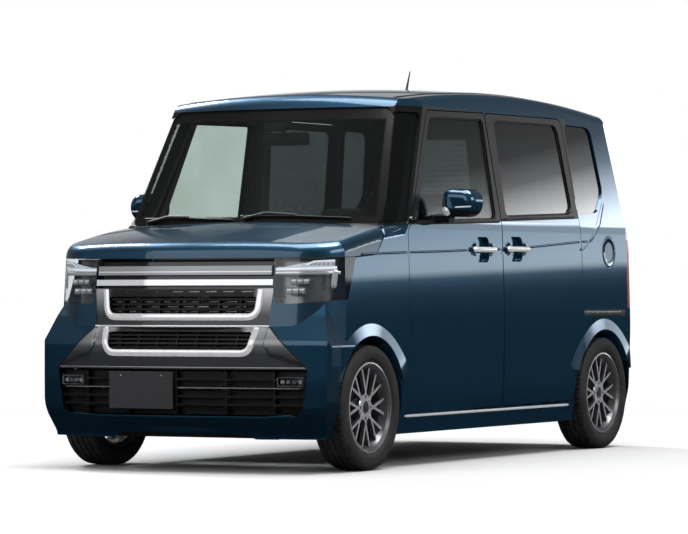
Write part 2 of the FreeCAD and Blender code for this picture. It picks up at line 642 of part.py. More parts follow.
# ---------------------------------------------------------------- floor and wheel housings
TUNNEL_TOP = 330
FLOOR_TOP = 215
FLOOR_LINE = [(-800, 960), (-800, 380, 60), (-640, FLOOR_TOP, 60), (-260, FLOOR_TOP, 30),
              (-230, TUNNEL_TOP, 30), (300, TUNNEL_TOP, 30), (330, FLOOR_TOP, 30),
              (900, FLOOR_TOP, 60), (980, 420, 60), (1575, 420)]
floor_lower = [(y - 14 if z > 500 else y, z - 14) + tuple(r) for y, z, *r in FLOOR_LINE]
floor_outline = FLOOR_LINE + list(reversed(floor_lower))
floor = side_prism(floor_outline, -700, 700)
floor = floor.common(inside_sides)


def housing(axle, radius, x_in, x_out):
    """A wheel housing: half a drum, closed on its inner side."""
    whole = along_axle(axle, radius + 5, x_in - 5, x_out)
    hollow = along_axle(axle, radius, x_in, x_out + 1)
    lower = box((x_in - 50, axle - 500, -200), (x_out + 50, axle + 500, 190))
    return whole.cut(hollow).cut(lower)


front_housing = housing(FRONT_AXLE, dim("liner_radius"), 385, 650)
strut_hole = rod((KINGPIN_X, FRONT_AXLE, 500), (KINGPIN_X, FRONT_AXLE, 700), 60)
front_housing = front_housing.cut(strut_hole)
front_housing = front_housing.cut(box((300, FRONT_AXLE - 90, 100), (420, FRONT_AXLE + 90, 330)))
rear_housing = housing(REAR_AXLE, dim("arch_radius") + 6, 535, 650)
rear_housing = rear_housing.cut(box((500, REAR_AXLE - 60, 100), (560, REAR_AXLE + 60, 360)))
drum = along_axle(REAR_AXLE, dim("arch_radius") + 11, 525, 800)
arm_notch = box((440, REAR_AXLE - 440, 180), (560, REAR_AXLE + 80, 322))
floor = floor.cut(drum).cut(mirrored(drum)).cut(arm_notch).cut(mirrored(arm_notch))
floor = only_solid(floor.cut(pillar_zone).cut(mirrored(pillar_zone)))
add("floor_pan", floor)
rear_housing = rear_housing.common(inside_sides).cut(cabin_shell)
front_housing = front_housing.common(inside_sides).cut(nose_shell)
front_housing, rear_housing = only_solid(front_housing), only_solid(rear_housing)
add("front_wheel_housings", both(front_housing))
add("rear_wheel_housings", both(rear_housing))

# ---------------------------------------------------------------- bound pieces
FRONT_Y = "(dimensions.front_overhang - dimensions.overall_length / 2)"
REAR_Y = "(dimensions.front_overhang - dimensions.overall_length / 2 + dimensions.wheelbase)"
AXLE_Z = "dimensions.tyre_radius"
HUB_X = "(dimensions.track / 2)"
PIN_X = "(dimensions.track / 2 - dimensions.steering_offset)"
STUB_RADIUS = "dimensions.hub_bore - dimensions.running_clearance"


def keep(feature, label):
    """Count a document object as a finished sub-part."""
    feature.Label = label
    sub_parts.append(feature)
    return feature


def put(feature, spot, turn=None):
    """Place a feature at a spot of three expressions."""
    if turn:
        feature.Placement = FreeCAD.Placement(V(0, 0, 0), turn)
    for axis, text in zip("xyz", spot):
        feature.setExpression("Placement.Base." + axis, text)
    return feature


def block(name, size, corner):
    """A bound box with its lowest corner at a spot."""
    piece = doc.addObject("Part::Box", name)
    for prop, text in zip(("Length", "Width", "Height"), size):
        piece.setExpression(prop, text)
    return put(piece, corner)


def bar(name, radius, length, start, direction):
    """A bound round bar from a spot in a direction."""
    piece = doc.addObject("Part::Cylinder", name)
    piece.setExpression("Radius", radius)
    piece.setExpression("Height", length)
    return put(piece, start, FreeCAD.Rotation(V(0, 0, 1), V(*direction)))


def fused(label, pieces):
    """One sub-part from pieces that meet."""
    whole = doc.addObject("Part::MultiFuse", label)
    whole.Shapes = pieces
    return keep(whole, label)


def twin(name, source):
    """The mirrored copy of a feature on the car's other side."""
    copy = doc.addObject("Part::Mirroring", name)
    copy.Source = source
    copy.Normal = (1, 0, 0)
    return copy


def with_twins(pieces):
    """Features together with their mirrored copies."""
    return pieces + [twin(piece.Name + "_twin", piece) for piece in pieces]


def origin_plane(body, role):
    """A body's own origin plane, found by its role."""
    return next(f for f in body.Origin.OriginFeatures if f.Role == role)


def new_sketch(body, name, plane, offset):
    """A sketch on one of the body's own planes, moved along its normal."""
    sketch = body.newObject("Sketcher::SketchObject", name)
    sketch.AttachmentSupport = [(origin_plane(body, plane), "")]
    sketch.MapMode = "FlatFace"
    if offset:
        sketch.setExpression("AttachmentOffset.Base.z", offset)
    return sketch


def limit(sketch, kind, first, text, start):
    """One driving distance of a sketch, bound to an expression."""
    if kind == "Radius":
        index = sketch.addConstraint(Sketcher.Constraint(kind, first[0], start))
    else:
        index = sketch.addConstraint(
            Sketcher.Constraint(kind, -1, 1, first[0], first[1], start))
    sketch.setExpression("Constraints[%d]" % index, text)


def profile(body, name, plane, corners, offset=None):
    """A closed outline whose every corner is bound to expressions."""
    sketch = new_sketch(body, name, plane, offset)
    count = len(corners)
    spots = []
    for i in range(count):
        angle = 2 * math.pi * i / count
        spots.append(V(100 * math.cos(angle), 300 + 100 * math.sin(angle), 0))
    for i in range(count):
        sketch.addGeometry(Part.LineSegment(spots[i], spots[(i + 1) % count]), False)
    for i in range(count):
        sketch.addConstraint(Sketcher.Constraint("Coincident", i, 2, (i + 1) % count, 1))
    for i, (across, up) in enumerate(corners):
        limit(sketch, "DistanceX", (i, 1), across, spots[i].x)
        limit(sketch, "DistanceY", (i, 1), up, spots[i].y)
    return sketch


def circle_sketch(body, name, plane, centre, radius, offset=None):
    """A circle whose centre and radius are bound to expressions."""
    sketch = new_sketch(body, name, plane, offset)
    sketch.addGeometry(Part.Circle(V(10, 50, 0), V(0, 0, 1), 5), False)
    limit(sketch, "DistanceX", (0, 3), centre[0], 10)
    limit(sketch, "DistanceY", (0, 3), centre[1], 50)
    limit(sketch, "Radius", (0,), radius, 5)
    return sketch


def revolved(body, name, corners):
    """A section (across, radius) turned about the body's X axis."""
    sketch = profile(body, name + "_section", "XY_Plane", corners)
    turning = body.newObject("PartDesign::Revolution", name)
    turning.Profile = sketch
    turning.ReferenceAxis = (sketch, ["H_Axis"])
    turning.Angle = 360
    return turning


def padded(body, name, sketch, length, midplane=False):
    """A sketch padded by a bound length."""
    pad = body.newObject("PartDesign::Pad", name)
    pad.Profile = sketch
    if midplane:
        pad.SideType = "Symmetric"
    pad.setExpression("Length", length)
    return pad


def round_pattern(body, name, originals, sketch, axis, count):
    """Features repeated round an axis of a sketch."""
    pattern = body.newObject("PartDesign::PolarPattern", name)
    pattern.Originals = originals
    pattern.Axis = (sketch, [axis])
    pattern.Angle = 360
    pattern.Occurrences = count
    body.Tip = pattern
    return pattern


def drill(body, name, sketch, depth):
    """A pocket that must take material away."""
    doc.recompute()
    before = body.Shape.Volume
    pocket = body.newObject("PartDesign::Pocket", name)
    pocket.Profile = sketch
    pocket.setExpression("Length", depth)
    doc.recompute()
    if not pocket.Shape.Volume < before - 1:
        raise RuntimeError("%s cuts nothing" % name)
    return pocket


# ---------------------------------------------------------------- mechanical pieces
engine = block("engine", ["dimensions.engine_width", "dimensions.engine_length",
                          "dimensions.engine_height"],
               ["-dimensions.engine_width / 2", FRONT_Y + " - 290", "230"])
keep(engine, "engine")

tank_body = doc.addObject("PartDesign::Body", "fuel_tank")
tank_outline = profile(tank_body, "tank_outline", "XY_Plane", [
    ("-dimensions.tank_width / 2", "-215"),
    ("dimensions.tank_width / 2", "-215"),
    ("dimensions.tank_width / 2", "-215 + dimensions.tank_length"),
    ("-dimensions.tank_width / 2", "-215 + dimensions.tank_length")], "202")
tank_pad = padded(tank_body, "tank_block", tank_outline, "dimensions.tank_height")
doc.recompute()
tank_edges = ["Edge%d" % (i + 1) for i, e in enumerate(tank_pad.Shape.Edges)
              if e.BoundBox.ZLength > 50]
tank_round = tank_body.newObject("PartDesign::Fillet", "tank_corners")
tank_round.Base = (tank_pad, tank_edges)
tank_round.setExpression("Radius", "dimensions.tank_corner")
keep(tank_body, "fuel_tank")

PIPE_X = "-120"
front_pipe = bar("front_pipe", "dimensions.pipe_radius", "2170",
                 [PIPE_X, FRONT_Y + " + 210", "dimensions.pipe_height"], (0, 1, 0))
rear_pipe = bar("rear_pipe", "dimensions.pipe_radius", "290",
                [PIPE_X, FRONT_Y + " + 2380", "dimensions.pipe_height"], (0, 260, 80))
elbow = doc.addObject("Part::Sphere", "elbow")
elbow.setExpression("Radius", "dimensions.pipe_radius + 4")
put(elbow, [PIPE_X, FRONT_Y + " + 2380", "dimensions.pipe_height"])
muffler = block("muffler", ["480", "170", "130"],
                ["-330", FRONT_Y + " + 2640", "dimensions.pipe_height + 25"])
fused("exhaust", [front_pipe, elbow, rear_pipe, muffler])

BEAM_BACK = REAR_Y + " - 180"
beam = block("rear_beam", ["1040", "dimensions.beam_width", "dimensions.beam_height"],
             ["-520", BEAM_BACK, "235"])
arm_pieces = [
    block("trailing_arm", ["50", "470", "dimensions.beam_height"],
          ["470", REAR_Y + " - 420", "240"]),
    bar("rear_stub", STUB_RADIUS, HUB_X + " + 52.5 - 500", ["500", REAR_Y, AXLE_Z], (1, 0, 0)),
    bar("rear_collar", "45", HUB_X + " - 12.5 - 520", ["520", REAR_Y, AXLE_Z], (1, 0, 0)),
    bar("brake_drum", "dimensions.brake_radius", "44",
        [HUB_X + " - 60", REAR_Y, AXLE_Z], (1, 0, 0)),
]
fused("rear_axle", [beam] + with_twins(arm_pieces))

crossmember = block("crossmember", ["600", "300", "37"], ["-300", FRONT_Y + " - 150", "185"])
strut_pieces = [
    block("lower_arm", [PIN_X + " + 26 - 290", "56", "28"], ["290", FRONT_Y + " - 28", "190"]),
    bar("strut", "dimensions.kingpin_radius", "680", [PIN_X, FRONT_Y, "200"], (0, 0, 1)),
    bar("spring", "52", "220", [PIN_X, FRONT_Y, "640"], (0, 0, 1)),
]
fused("front_subframe", [crossmember] + with_twins(strut_pieces))

knuckle_body = doc.addObject("PartDesign::Body", "knuckle_left")
knuckle_turning = revolved(knuckle_body, "stub_axle", [
    ("0", "0"), (HUB_X + " + 52.5 - " + PIN_X, "0"),
    (HUB_X + " + 52.5 - " + PIN_X, STUB_RADIUS),
    ("dimensions.steering_offset - 12.5", STUB_RADIUS), ("dimensions.steering_offset - 12.5", "30"),
    ("dimensions.steering_offset - 50", "30"),
    ("dimensions.steering_offset - 50", "dimensions.brake_radius"),
    ("dimensions.steering_offset - 62", "dimensions.brake_radius"),
    ("dimensions.steering_offset - 62", "34"), ("0", "34")])
carrier_outline = profile(knuckle_body, "carrier_outline", "XY_Plane", [
    ("-24", "-32"), ("24", "-32"), ("24", "32"), ("-24", "32")], "-59")
carrier = padded(knuckle_body, "carrier", carrier_outline, "138")
bore_outline = circle_sketch(knuckle_body, "kingpin_outline", "XY_Plane", ["0", "0"],
                             "dimensions.kingpin_radius + dimensions.running_clearance", "140")
drill(knuckle_body, "kingpin_bore", bore_outline, "280")
put(knuckle_body, [PIN_X, FRONT_Y, AXLE_Z])
keep(knuckle_body, "knuckle_left")
keep(twin("knuckle_right", knuckle_body), "knuckle_right")

# ---------------------------------------------------------------- wheels
HALF_TYRE = "dimensions.tyre_width / 2"
HALF_RIM = "dimensions.rim_width / 2"
RIM = "dimensions.rim_radius"
FACE = "dimensions.spoke_face"
BARREL_FLOOR = RIM + " - dimensions.bead_height"
SPREAD = "dimensions.spoke_spread * 1 deg"
SPOKE_PAIRS = 8
LUGS = 4
QUARTER_TURNS = {1: FreeCAD.Rotation(), -1: FreeCAD.Rotation(V(0, 0, 1), 180)}


def build_tyre(name):
    """A tyre: its section is turned and its shoulders are rounded."""
    body = doc.addObject("PartDesign::Body", name)
    tread = "dimensions.tyre_radius"
    turning = revolved(body, name + "_ring", [
        ("-" + HALF_TYRE + " + 12", RIM), ("-" + HALF_TYRE + " + 1", RIM + " + 18"),
        ("-" + HALF_TYRE, RIM + " + 38"), ("-" + HALF_TYRE + " + 9", tread + " - 8"),
        ("-" + HALF_TYRE + " + 26", tread), (HALF_TYRE + " - 26", tread),
        (HALF_TYRE + " - 9", tread + " - 8"), (HALF_TYRE, RIM + " + 38"),
        (HALF_TYRE + " - 1", RIM + " + 18"), (HALF_TYRE + " - 12", RIM)])
    doc.recompute()
    shoulders = ["Edge%d" % (i + 1) for i, edge in enumerate(turning.Shape.Edges)
                 if hasattr(edge.Curve, "Radius")
                 and dim("rim_radius") + 10 < edge.Curve.Radius < dim("tyre_radius") + 1]
    rounding = body.newObject("PartDesign::Fillet", name + "_shoulders")
    rounding.Base = (turning, shoulders)
    rounding.setExpression("Radius", "dimensions.tyre_rounding")
    return body


def build_rim(name):
    """An alloy rim: barrel, crossing pairs of spokes, hub and lug holes."""
    body = doc.addObject("PartDesign::Body", name)
    barrel = revolved(body, name + "_barrel", [
        ("-" + HALF_RIM, RIM + " - 4"), ("-" + HALF_RIM + " + 6", RIM),
        ("-" + HALF_RIM + " + 22", BARREL_FLOOR), (HALF_RIM + " - 42", BARREL_FLOOR + " - 14"),
        (HALF_RIM + " - 12", RIM + " - 10"), (HALF_RIM, RIM), (HALF_RIM + " + 2", RIM + " - 8"),
        (HALF_RIM + " - 10", RIM + " - 20"), (HALF_RIM + " - 42", BARREL_FLOOR + " - 20"),
        ("-" + HALF_RIM + " + 20", BARREL_FLOOR + " - 7")])
    legs = []
    for i, (near, far) in enumerate((("-", ""), ("", "-"))):
        foot = "%sdimensions.hub_radius * sin(%s)" % (near, SPREAD)
        head = "%s(%s - 26) * sin(%s)" % (far, RIM, SPREAD)
        low = "dimensions.hub_radius * cos(%s)" % SPREAD
        high = "(%s - 26) * cos(%s)" % (RIM, SPREAD)
        half = "dimensions.spoke_width / 2"
        outline = profile(body, "%s_leg_%d_outline" % (name, i), "YZ_Plane", [
            (foot + " - " + half, low), (head + " - " + half, high),
            (head + " + " + half, high), (foot + " + " + half, low)],
            FACE + " - dimensions.spoke_depth")
        legs.append(padded(body, "%s_leg_%d" % (name, i), outline, "dimensions.spoke_depth"))
    round_pattern(body, name + "_spokes", legs, barrel.Profile[0], "H_Axis", SPOKE_PAIRS)
    revolved(body, name + "_hub", [
        ("-10", "dimensions.hub_bore"), ("-10", "dimensions.hub_radius - 8"),
        (FACE + " - dimensions.spoke_depth - 6", "dimensions.hub_radius + 14"),
        (FACE + " - 4", "dimensions.hub_radius + 14"), (FACE, "dimensions.hub_radius + 8"),
        (FACE, "dimensions.hub_bore")])
    lug_outline = circle_sketch(body, name + "_lug_outline", "YZ_Plane",
                                ["0", "dimensions.lug_circle"], "dimensions.lug_hole", FACE)
    lug = drill(body, name + "_lug", lug_outline, "dimensions.spoke_depth")
    round_pattern(body, name + "_lugs", [lug], lug_outline, "N_Axis", LUGS)
    return body


for end, place_y in (("front", FRONT_Y), ("rear", REAR_Y)):
    for side, way in (("left", 1), ("right", -1)):
        across = HUB_X if way > 0 else "-" + HUB_X
        for kind, build in (("tyre_", build_tyre), ("rim_", build_rim)):
            piece = build(kind + end + "_" + side)
            put(piece, [across, place_y, AXLE_Z], QUARTER_TURNS[way])
            keep(piece, piece.Name)

# ---------------------------------------------------------------- cabin
dash_outline = [(-790, 700, 20), (-790, 1060, 30), (-640, 1075, 60), (-560, 1015, 60),
                (-545, 880, 60), (-610, 720, 60)]
dashboard = side_prism(dash_outline, -700, 700).common(inside_sides)
COLUMN = V(-330, -478, 955)
COLUMN_AXIS = V(0, 0.88, 0.475)
column = rod(tuple(COLUMN - COLUMN_AXIS * 160), tuple(COLUMN - COLUMN_AXIS * 26), 24)
console = box((-130, -700, 640), (130, -560, 900)).cut(box((-100, -575, 660), (100, -500, 740)))
pocket = box((90, -575, 830), (600, -500, 890))
dashboard = only_solid(dashboard.cut(pocket).fuse(console).fuse(column))
add("dashboard", dashboard)

wheel_ring = doc.addObject("Part::Torus", "steering_ring")
wheel_ring.setExpression("Radius1", "dimensions.steering_wheel_radius - dimensions.grip_radius")
wheel_ring.setExpression("Radius2", "dimensions.grip_radius")
boss = bar("steering_boss", "62", "34", ["0", "0", "-22"], (0, 0, 1))
wheel_pieces = [wheel_ring, boss]
for i, angle in enumerate((0, 180, 270)):
    spoke = doc.addObject("Part::Box", "steering_spoke_%d" % i)
    spoke.setExpression("Length", "dimensions.steering_wheel_radius - dimensions.grip_radius - 40")
    spoke.setExpression("Width", "30")
    spoke.setExpression("Height", "12")
    turn = FreeCAD.Rotation(V(0, 0, 1), angle)
    spoke.Placement = FreeCAD.Placement(turn.multVec(V(40, -15, -8)), turn)
    wheel_pieces.append(spoke)
steering = fused("steering_wheel", wheel_pieces)
face_up = FreeCAD.Rotation(V(1, 0, 0), V(0, -0.475, 0.88), V(0, 0.88, 0.475), "XZY")
steering.Placement = FreeCAD.Placement(COLUMN, face_up)


def seat(label, pieces):
    """Seat cushions that share one node: each is (name, side outline, x, width)."""
    solids = []
    for name, outline, x, width in pieces:
        body = doc.addObject("PartDesign::Body", label + "_" + name)
        sketch = profile(body, body.Name + "_outline", "YZ_Plane", outline, x)
        pad = padded(body, body.Name + "_pad", sketch, width, True)
        doc.recompute()
        rounding = body.newObject("PartDesign::Fillet", body.Name + "_edges")
        rounding.Base = (pad, ["Edge%d" % (i + 1) for i in range(len(pad.Shape.Edges))])
        rounding.setExpression("Radius", "dimensions.cushion_rounding")
        solids.append(body)
    whole = doc.addObject("Part::Compound", label)
    whole.Links = solids
    return keep(whole, label)


def seat_outlines(front, depth, height):
    """Side outlines of a cushion, a leaning back and a headrest, from expressions."""
    top = "(%s + dimensions.cushion_height)" % height
    rear = "(%s + %s)" % (front, depth)
    back_top = "(%s + dimensions.back_height)" % top
    cushion = [(front, height), (rear, height), (rear, top + " - 20"), (front, top)]
    back = [(rear + " - 25", top + " + 2"), (rear + " + 90", top + " - 40"),
            (rear + " + 225", back_top), (rear + " + 125", back_top)]
    rest = [(rear + " + 130", back_top + " + 5"), (rear + " + 220", back_top + " + 5"),
            (rear + " + 250", back_top + " + 170"), (rear + " + 165", back_top + " + 170")]
    return cushion, back, rest


cushion, back, rest = seat_outlines("dimensions.seat_front", "dimensions.seat_depth",
                                    "dimensions.seat_height")
for side, x in (("left", "dimensions.seat_offset"), ("right", "-dimensions.seat_offset")):
    seat("front_seat_" + side, [("cushion", cushion, x, "dimensions.seat_width"),
                                ("back", back, x, "dimensions.seat_width"),
                                ("headrest", rest, x, "260")])
cushion, back, rest = seat_outlines("dimensions.bench_front", "dimensions.bench_depth",
                                    "dimensions.bench_height")
seat("rear_seat", [("cushion", cushion, "0", "dimensions.bench_width"),
                   ("back", back, "0", "dimensions.bench_width"),
                   ("headrest_left", rest, "270", "260"),
                   ("headrest_right", rest, "-270", "260")])

# ---------------------------------------------------------------- outside fittings
mirror_cap = front_prism([(752, 1140, 55), (922, 1136, 62), (926, 1262, 58), (758, 1272, 48)],
                         -586, -476)
mirror_face = [e for e in mirror_cap.Edges if e.BoundBox.YMax < -574]
mirror_cap = mirror_cap.makeFillet(40, mirror_face)
mirror_stem = side_prism([(-560, 1112, 12), (-560, 1150, 12), (-496, 1156, 12),
                          (-500, 1112, 12)], 690, 790)
mirror_left = mirror_cap.fuse(mirror_stem).cut(side_body(0)).cut(
    box((780, -500, 1158), (890, -400, 1250)))
mirror_left = only_solid(mirror_left.removeSplitter())
add("mirror_left", mirror_left)
add("mirror_right", mirrored(mirror_left))

plate_body = doc.addObject("PartDesign::Body", "number_plate")
PLATE_FRONT = "(dimensions.overall_length / 2 - 1)"
HALF_PLATE = "dimensions.plate_width / 2"
plate_outline = profile(plate_body, "plate_outline", "XZ_Plane", [
    ("-173 - " + HALF_PLATE, "280"), ("-173 + " + HALF_PLATE, "280"),
    ("-173 + " + HALF_PLATE, "280 + dimensions.plate_height"),
    ("-173 - " + HALF_PLATE, "280 + dimensions.plate_height")],
    PLATE_FRONT + " - dimensions.plate_thickness")
padded(plate_body, "plate_sheet", plate_outline, "dimensions.plate_thickness")
for name, way in (("first", "-"), ("second", "+")):
    hole = circle_sketch(plate_body, name + "_hole_outline", "XZ_Plane",
                         ["-173 %s dimensions.plate_hole_spacing / 2" % way,
                          "262 + dimensions.plate_height"], "dimensions.plate_hole", PLATE_FRONT)
    drill(plate_body, name + "_hole", hole, "dimensions.plate_thickness + 1")
keep(plate_body, "number_plate")

antenna = doc.addObject("Part::Cone", "antenna")
antenna.Radius1 = 7
antenna.Radius2 = 2.5
antenna.Height = 116
put(antenna, ["0", "548", "dimensions.overall_height + 2.3"],
    FreeCAD.Rotation(V(0, 0, 1), V(0, 0.38, 0.92)))
keep(antenna, "antenna")

doc.recompute()
os.makedirs("parts", exist_ok=True)
for item in sub_parts:
    faults = [s for s in item.State if s in ("Invalid", "Error")]
    shape = item.Shape
    if faults or shape.isNull() or not shape.isValid():
        raise RuntimeError("%s is not sound" % item.Label)
    shape.exportStep("parts/%s.step" % item.Label)
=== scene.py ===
import bpy
import bmesh
import json
import math
from mathutils import Matrix, Vector
from mathutils.bvhtree import BVHTree
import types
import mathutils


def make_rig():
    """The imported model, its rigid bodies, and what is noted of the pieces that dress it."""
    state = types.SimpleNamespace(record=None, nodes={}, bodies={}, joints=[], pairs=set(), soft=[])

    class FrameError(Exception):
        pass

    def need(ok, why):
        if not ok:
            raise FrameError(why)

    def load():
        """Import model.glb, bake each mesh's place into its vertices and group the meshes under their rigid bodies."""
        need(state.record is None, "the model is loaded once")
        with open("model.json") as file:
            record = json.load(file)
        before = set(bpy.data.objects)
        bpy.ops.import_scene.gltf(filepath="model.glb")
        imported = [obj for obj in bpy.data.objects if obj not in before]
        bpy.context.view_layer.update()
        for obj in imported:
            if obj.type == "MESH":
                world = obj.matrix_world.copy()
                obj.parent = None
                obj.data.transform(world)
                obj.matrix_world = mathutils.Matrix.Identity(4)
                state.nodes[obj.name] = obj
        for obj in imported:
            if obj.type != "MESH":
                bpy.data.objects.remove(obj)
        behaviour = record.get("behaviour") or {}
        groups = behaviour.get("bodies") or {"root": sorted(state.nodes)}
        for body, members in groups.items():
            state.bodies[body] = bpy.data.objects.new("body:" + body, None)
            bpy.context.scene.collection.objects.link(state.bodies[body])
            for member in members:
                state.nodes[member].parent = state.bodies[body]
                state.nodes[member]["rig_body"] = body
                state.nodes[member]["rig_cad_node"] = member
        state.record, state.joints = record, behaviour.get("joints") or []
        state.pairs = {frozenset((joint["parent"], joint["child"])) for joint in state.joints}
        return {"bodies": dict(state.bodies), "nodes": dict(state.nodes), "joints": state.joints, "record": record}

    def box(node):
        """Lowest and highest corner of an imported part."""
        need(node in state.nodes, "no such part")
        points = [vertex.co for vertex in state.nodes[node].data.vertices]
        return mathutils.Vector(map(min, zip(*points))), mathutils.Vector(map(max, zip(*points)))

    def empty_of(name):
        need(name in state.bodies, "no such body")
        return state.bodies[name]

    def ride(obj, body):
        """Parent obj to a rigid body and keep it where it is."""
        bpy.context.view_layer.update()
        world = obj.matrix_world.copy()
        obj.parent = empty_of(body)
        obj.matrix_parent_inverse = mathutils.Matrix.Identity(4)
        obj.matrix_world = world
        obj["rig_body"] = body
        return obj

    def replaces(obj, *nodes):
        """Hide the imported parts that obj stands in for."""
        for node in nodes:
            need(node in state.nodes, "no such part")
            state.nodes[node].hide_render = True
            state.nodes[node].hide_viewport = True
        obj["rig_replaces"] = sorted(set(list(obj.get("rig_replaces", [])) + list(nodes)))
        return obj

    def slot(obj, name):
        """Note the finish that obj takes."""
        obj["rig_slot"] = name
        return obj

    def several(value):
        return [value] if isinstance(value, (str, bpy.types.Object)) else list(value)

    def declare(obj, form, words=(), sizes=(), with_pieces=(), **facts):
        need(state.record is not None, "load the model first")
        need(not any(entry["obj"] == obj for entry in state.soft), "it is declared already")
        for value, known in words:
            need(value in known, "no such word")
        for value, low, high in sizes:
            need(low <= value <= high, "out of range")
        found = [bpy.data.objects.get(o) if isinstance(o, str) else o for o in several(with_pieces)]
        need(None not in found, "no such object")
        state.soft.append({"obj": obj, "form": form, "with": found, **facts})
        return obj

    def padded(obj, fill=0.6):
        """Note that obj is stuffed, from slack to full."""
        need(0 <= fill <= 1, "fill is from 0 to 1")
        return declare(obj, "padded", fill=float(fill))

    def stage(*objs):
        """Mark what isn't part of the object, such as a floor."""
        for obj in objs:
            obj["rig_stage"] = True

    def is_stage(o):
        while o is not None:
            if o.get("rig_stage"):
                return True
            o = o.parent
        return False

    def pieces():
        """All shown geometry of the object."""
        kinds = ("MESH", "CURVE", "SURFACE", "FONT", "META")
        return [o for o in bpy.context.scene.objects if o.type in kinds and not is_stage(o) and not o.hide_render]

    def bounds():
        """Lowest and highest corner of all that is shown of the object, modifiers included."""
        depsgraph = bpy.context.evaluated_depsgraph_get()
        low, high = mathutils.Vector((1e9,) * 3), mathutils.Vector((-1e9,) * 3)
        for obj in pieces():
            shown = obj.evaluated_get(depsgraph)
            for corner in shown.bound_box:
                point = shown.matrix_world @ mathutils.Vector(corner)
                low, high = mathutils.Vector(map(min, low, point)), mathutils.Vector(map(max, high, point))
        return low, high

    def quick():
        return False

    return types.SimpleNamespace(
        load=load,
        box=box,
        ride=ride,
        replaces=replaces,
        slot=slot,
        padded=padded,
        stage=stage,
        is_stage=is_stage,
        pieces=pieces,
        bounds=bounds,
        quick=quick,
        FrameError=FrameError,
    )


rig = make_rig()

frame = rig.load()
cad_box = [list(c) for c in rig.bounds()]
nodes = frame["nodes"]
scene = bpy.context.scene
MM = 0.001                      # trim is given in millimetres, patterns of finishes in metres
FRONT_AXLE, REAR_AXLE, AXLE_Z = -1210, 1310, 281
SIDES = (("left", 1), ("right", -1))


# ---------------------------------------------------------------- materials
class Graph:
    """Shader nodes made by calls; a value is a number, a colour or another node's socket."""

    def __init__(self, tree):
        self.t = tree

    def node(self, kind, inputs=(), **settings):
        made = self.t.nodes.new("ShaderNode" + kind)
        for key, value in settings.items():
            setattr(made, key, value)
        for key, value in dict(inputs).items():
            self.put(made.inputs[key], value)
        return made

    def put(self, socket, value):
        if isinstance(value, bpy.types.NodeSocket):
            self.t.links.new(value, socket)
        elif isinstance(value, tuple) and len(value) == 3 and socket.type == "RGBA":
            socket.default_value = (*value, 1)
        else:
            socket.default_value = value

    def math(self, operation, first, second=0.0):
        return self.node("Math", {0: first, 1: second}, operation=operation).outputs[0]

    def span(self, value, low, high, to_low=0.0, to_high=1.0):
        return self.node("MapRange", {0: value, 1: low, 2: high, 3: to_low, 4: to_high}).outputs[0]

    def ramp(self, fac, stops):
        made = self.node("ValToRGB", {"Fac": fac})
        elements = made.color_ramp.elements
        while len(elements) < len(stops):
            elements.new(0.5)
        for element, (at, colour) in zip(elements, stops):
            element.position = at
            element.color = (*colour, 1)
        return made.outputs[0]

    def mix(self, fac, first, second):
        colour = isinstance(first, tuple) or isinstance(second, tuple) or (
            isinstance(first, bpy.types.NodeSocket) and first.type == "RGBA")
        slots, out = ((0, 6, 7), 2) if colour else ((0, 2, 3), 0)
        made = self.node("Mix", zip(slots, (fac, first, second)),
                         data_type="RGBA" if colour else "FLOAT")
        return made.outputs[out]


class Finish(Graph):
    """A Principled material whose sockets are fed from object-space patterns."""

    def __init__(self, name, rough=0.5, metal=0.0, coat=0.0, coat_rough=0.03, ior=1.5):
        self.m = bpy.data.materials.new(name)
        self.m.use_nodes = True
        super().__init__(self.m.node_tree)
        self.b = self.t.nodes["Principled BSDF"]
        self.place = self.node("TexCoord").outputs["Object"]
        for socket, value in (("Roughness", rough), ("Metallic", metal), ("Coat Weight", coat),
                              ("Coat Roughness", coat_rough), ("IOR", ior)):
            self.set(socket, value)

    def set(self, name, value):
        self.put(self.b.inputs[name], value)
        return self

    def noise(self, scale, detail=3.0, stretch=None):
        where = self.place
        if stretch:
            where = self.node("Mapping", {"Vector": where, "Scale": stretch}).outputs[0]
        return self.node("TexNoise", {"Vector": where, "Scale": scale, "Detail": detail}).outputs[0]

    def cells(self, scale, output="Distance"):
        return self.node("TexVoronoi", {"Vector": self.place, "Scale": scale}).outputs[output]

    def waves(self, scale, direction, distortion=0.0):
        inputs = {"Vector": self.place, "Scale": scale, "Distortion": distortion}
        return self.node("TexWave", inputs, bands_direction=direction).outputs[1]

    def axis(self, index, of=None):
        return self.node("SeparateXYZ", {"Vector": of or self.place}).outputs[index]

    def from_middle(self, index=0, of=None):
        return self.math("ABSOLUTE", self.axis(index, of))

    def above(self, index, limit, soft=0.0008):
        """One where a coordinate is over a limit, zero below it."""
        return self.span(self.axis(index), limit - soft, limit + soft)

    def below(self, index, limit):
        return self.math("SUBTRACT", 1.0, self.above(index, limit))

    def both(self, first, second):
        return self.math("MULTIPLY", first, second)

    def blend(self, pattern, dark, light, low=0.3, high=0.7):
        return self.ramp(pattern, [(low, dark), (high, light)])

    def bump(self, height, strength=0.2, distance=0.0005):
        made = self.node("Bump", {"Height": height, "Strength": strength, "Distance": distance})
        return self.set("Normal", made.outputs[0])

    def two_tone(self, scale, dark, light, rough):
        """Colour and roughness that vary softly over the surface."""
        pattern = self.noise(scale, 4.0)
        self.set("Base Color", self.blend(pattern, dark, light, 0.35, 0.65))
        return self.varied(pattern, *rough)

    def varied(self, pattern, least, most):
        """Roughness that follows a pattern."""
        return self.set("Roughness", self.span(pattern, 0.3, 0.7, least, most))


def shade(colour, factor):
    return tuple(c * factor for c in colour)


BLUE = (0.014, 0.070, 0.135)
BLUE_LIGHT = (0.018, 0.086, 0.162)
BLACKOUT = (0.006, 0.006, 0.007)
BELT, BELT_RISE, DOOR_TOP = 1.124, 0.03, 1.652
QUARTER_FRONT = 1.045
MIRROR_MIDDLE = 1.168


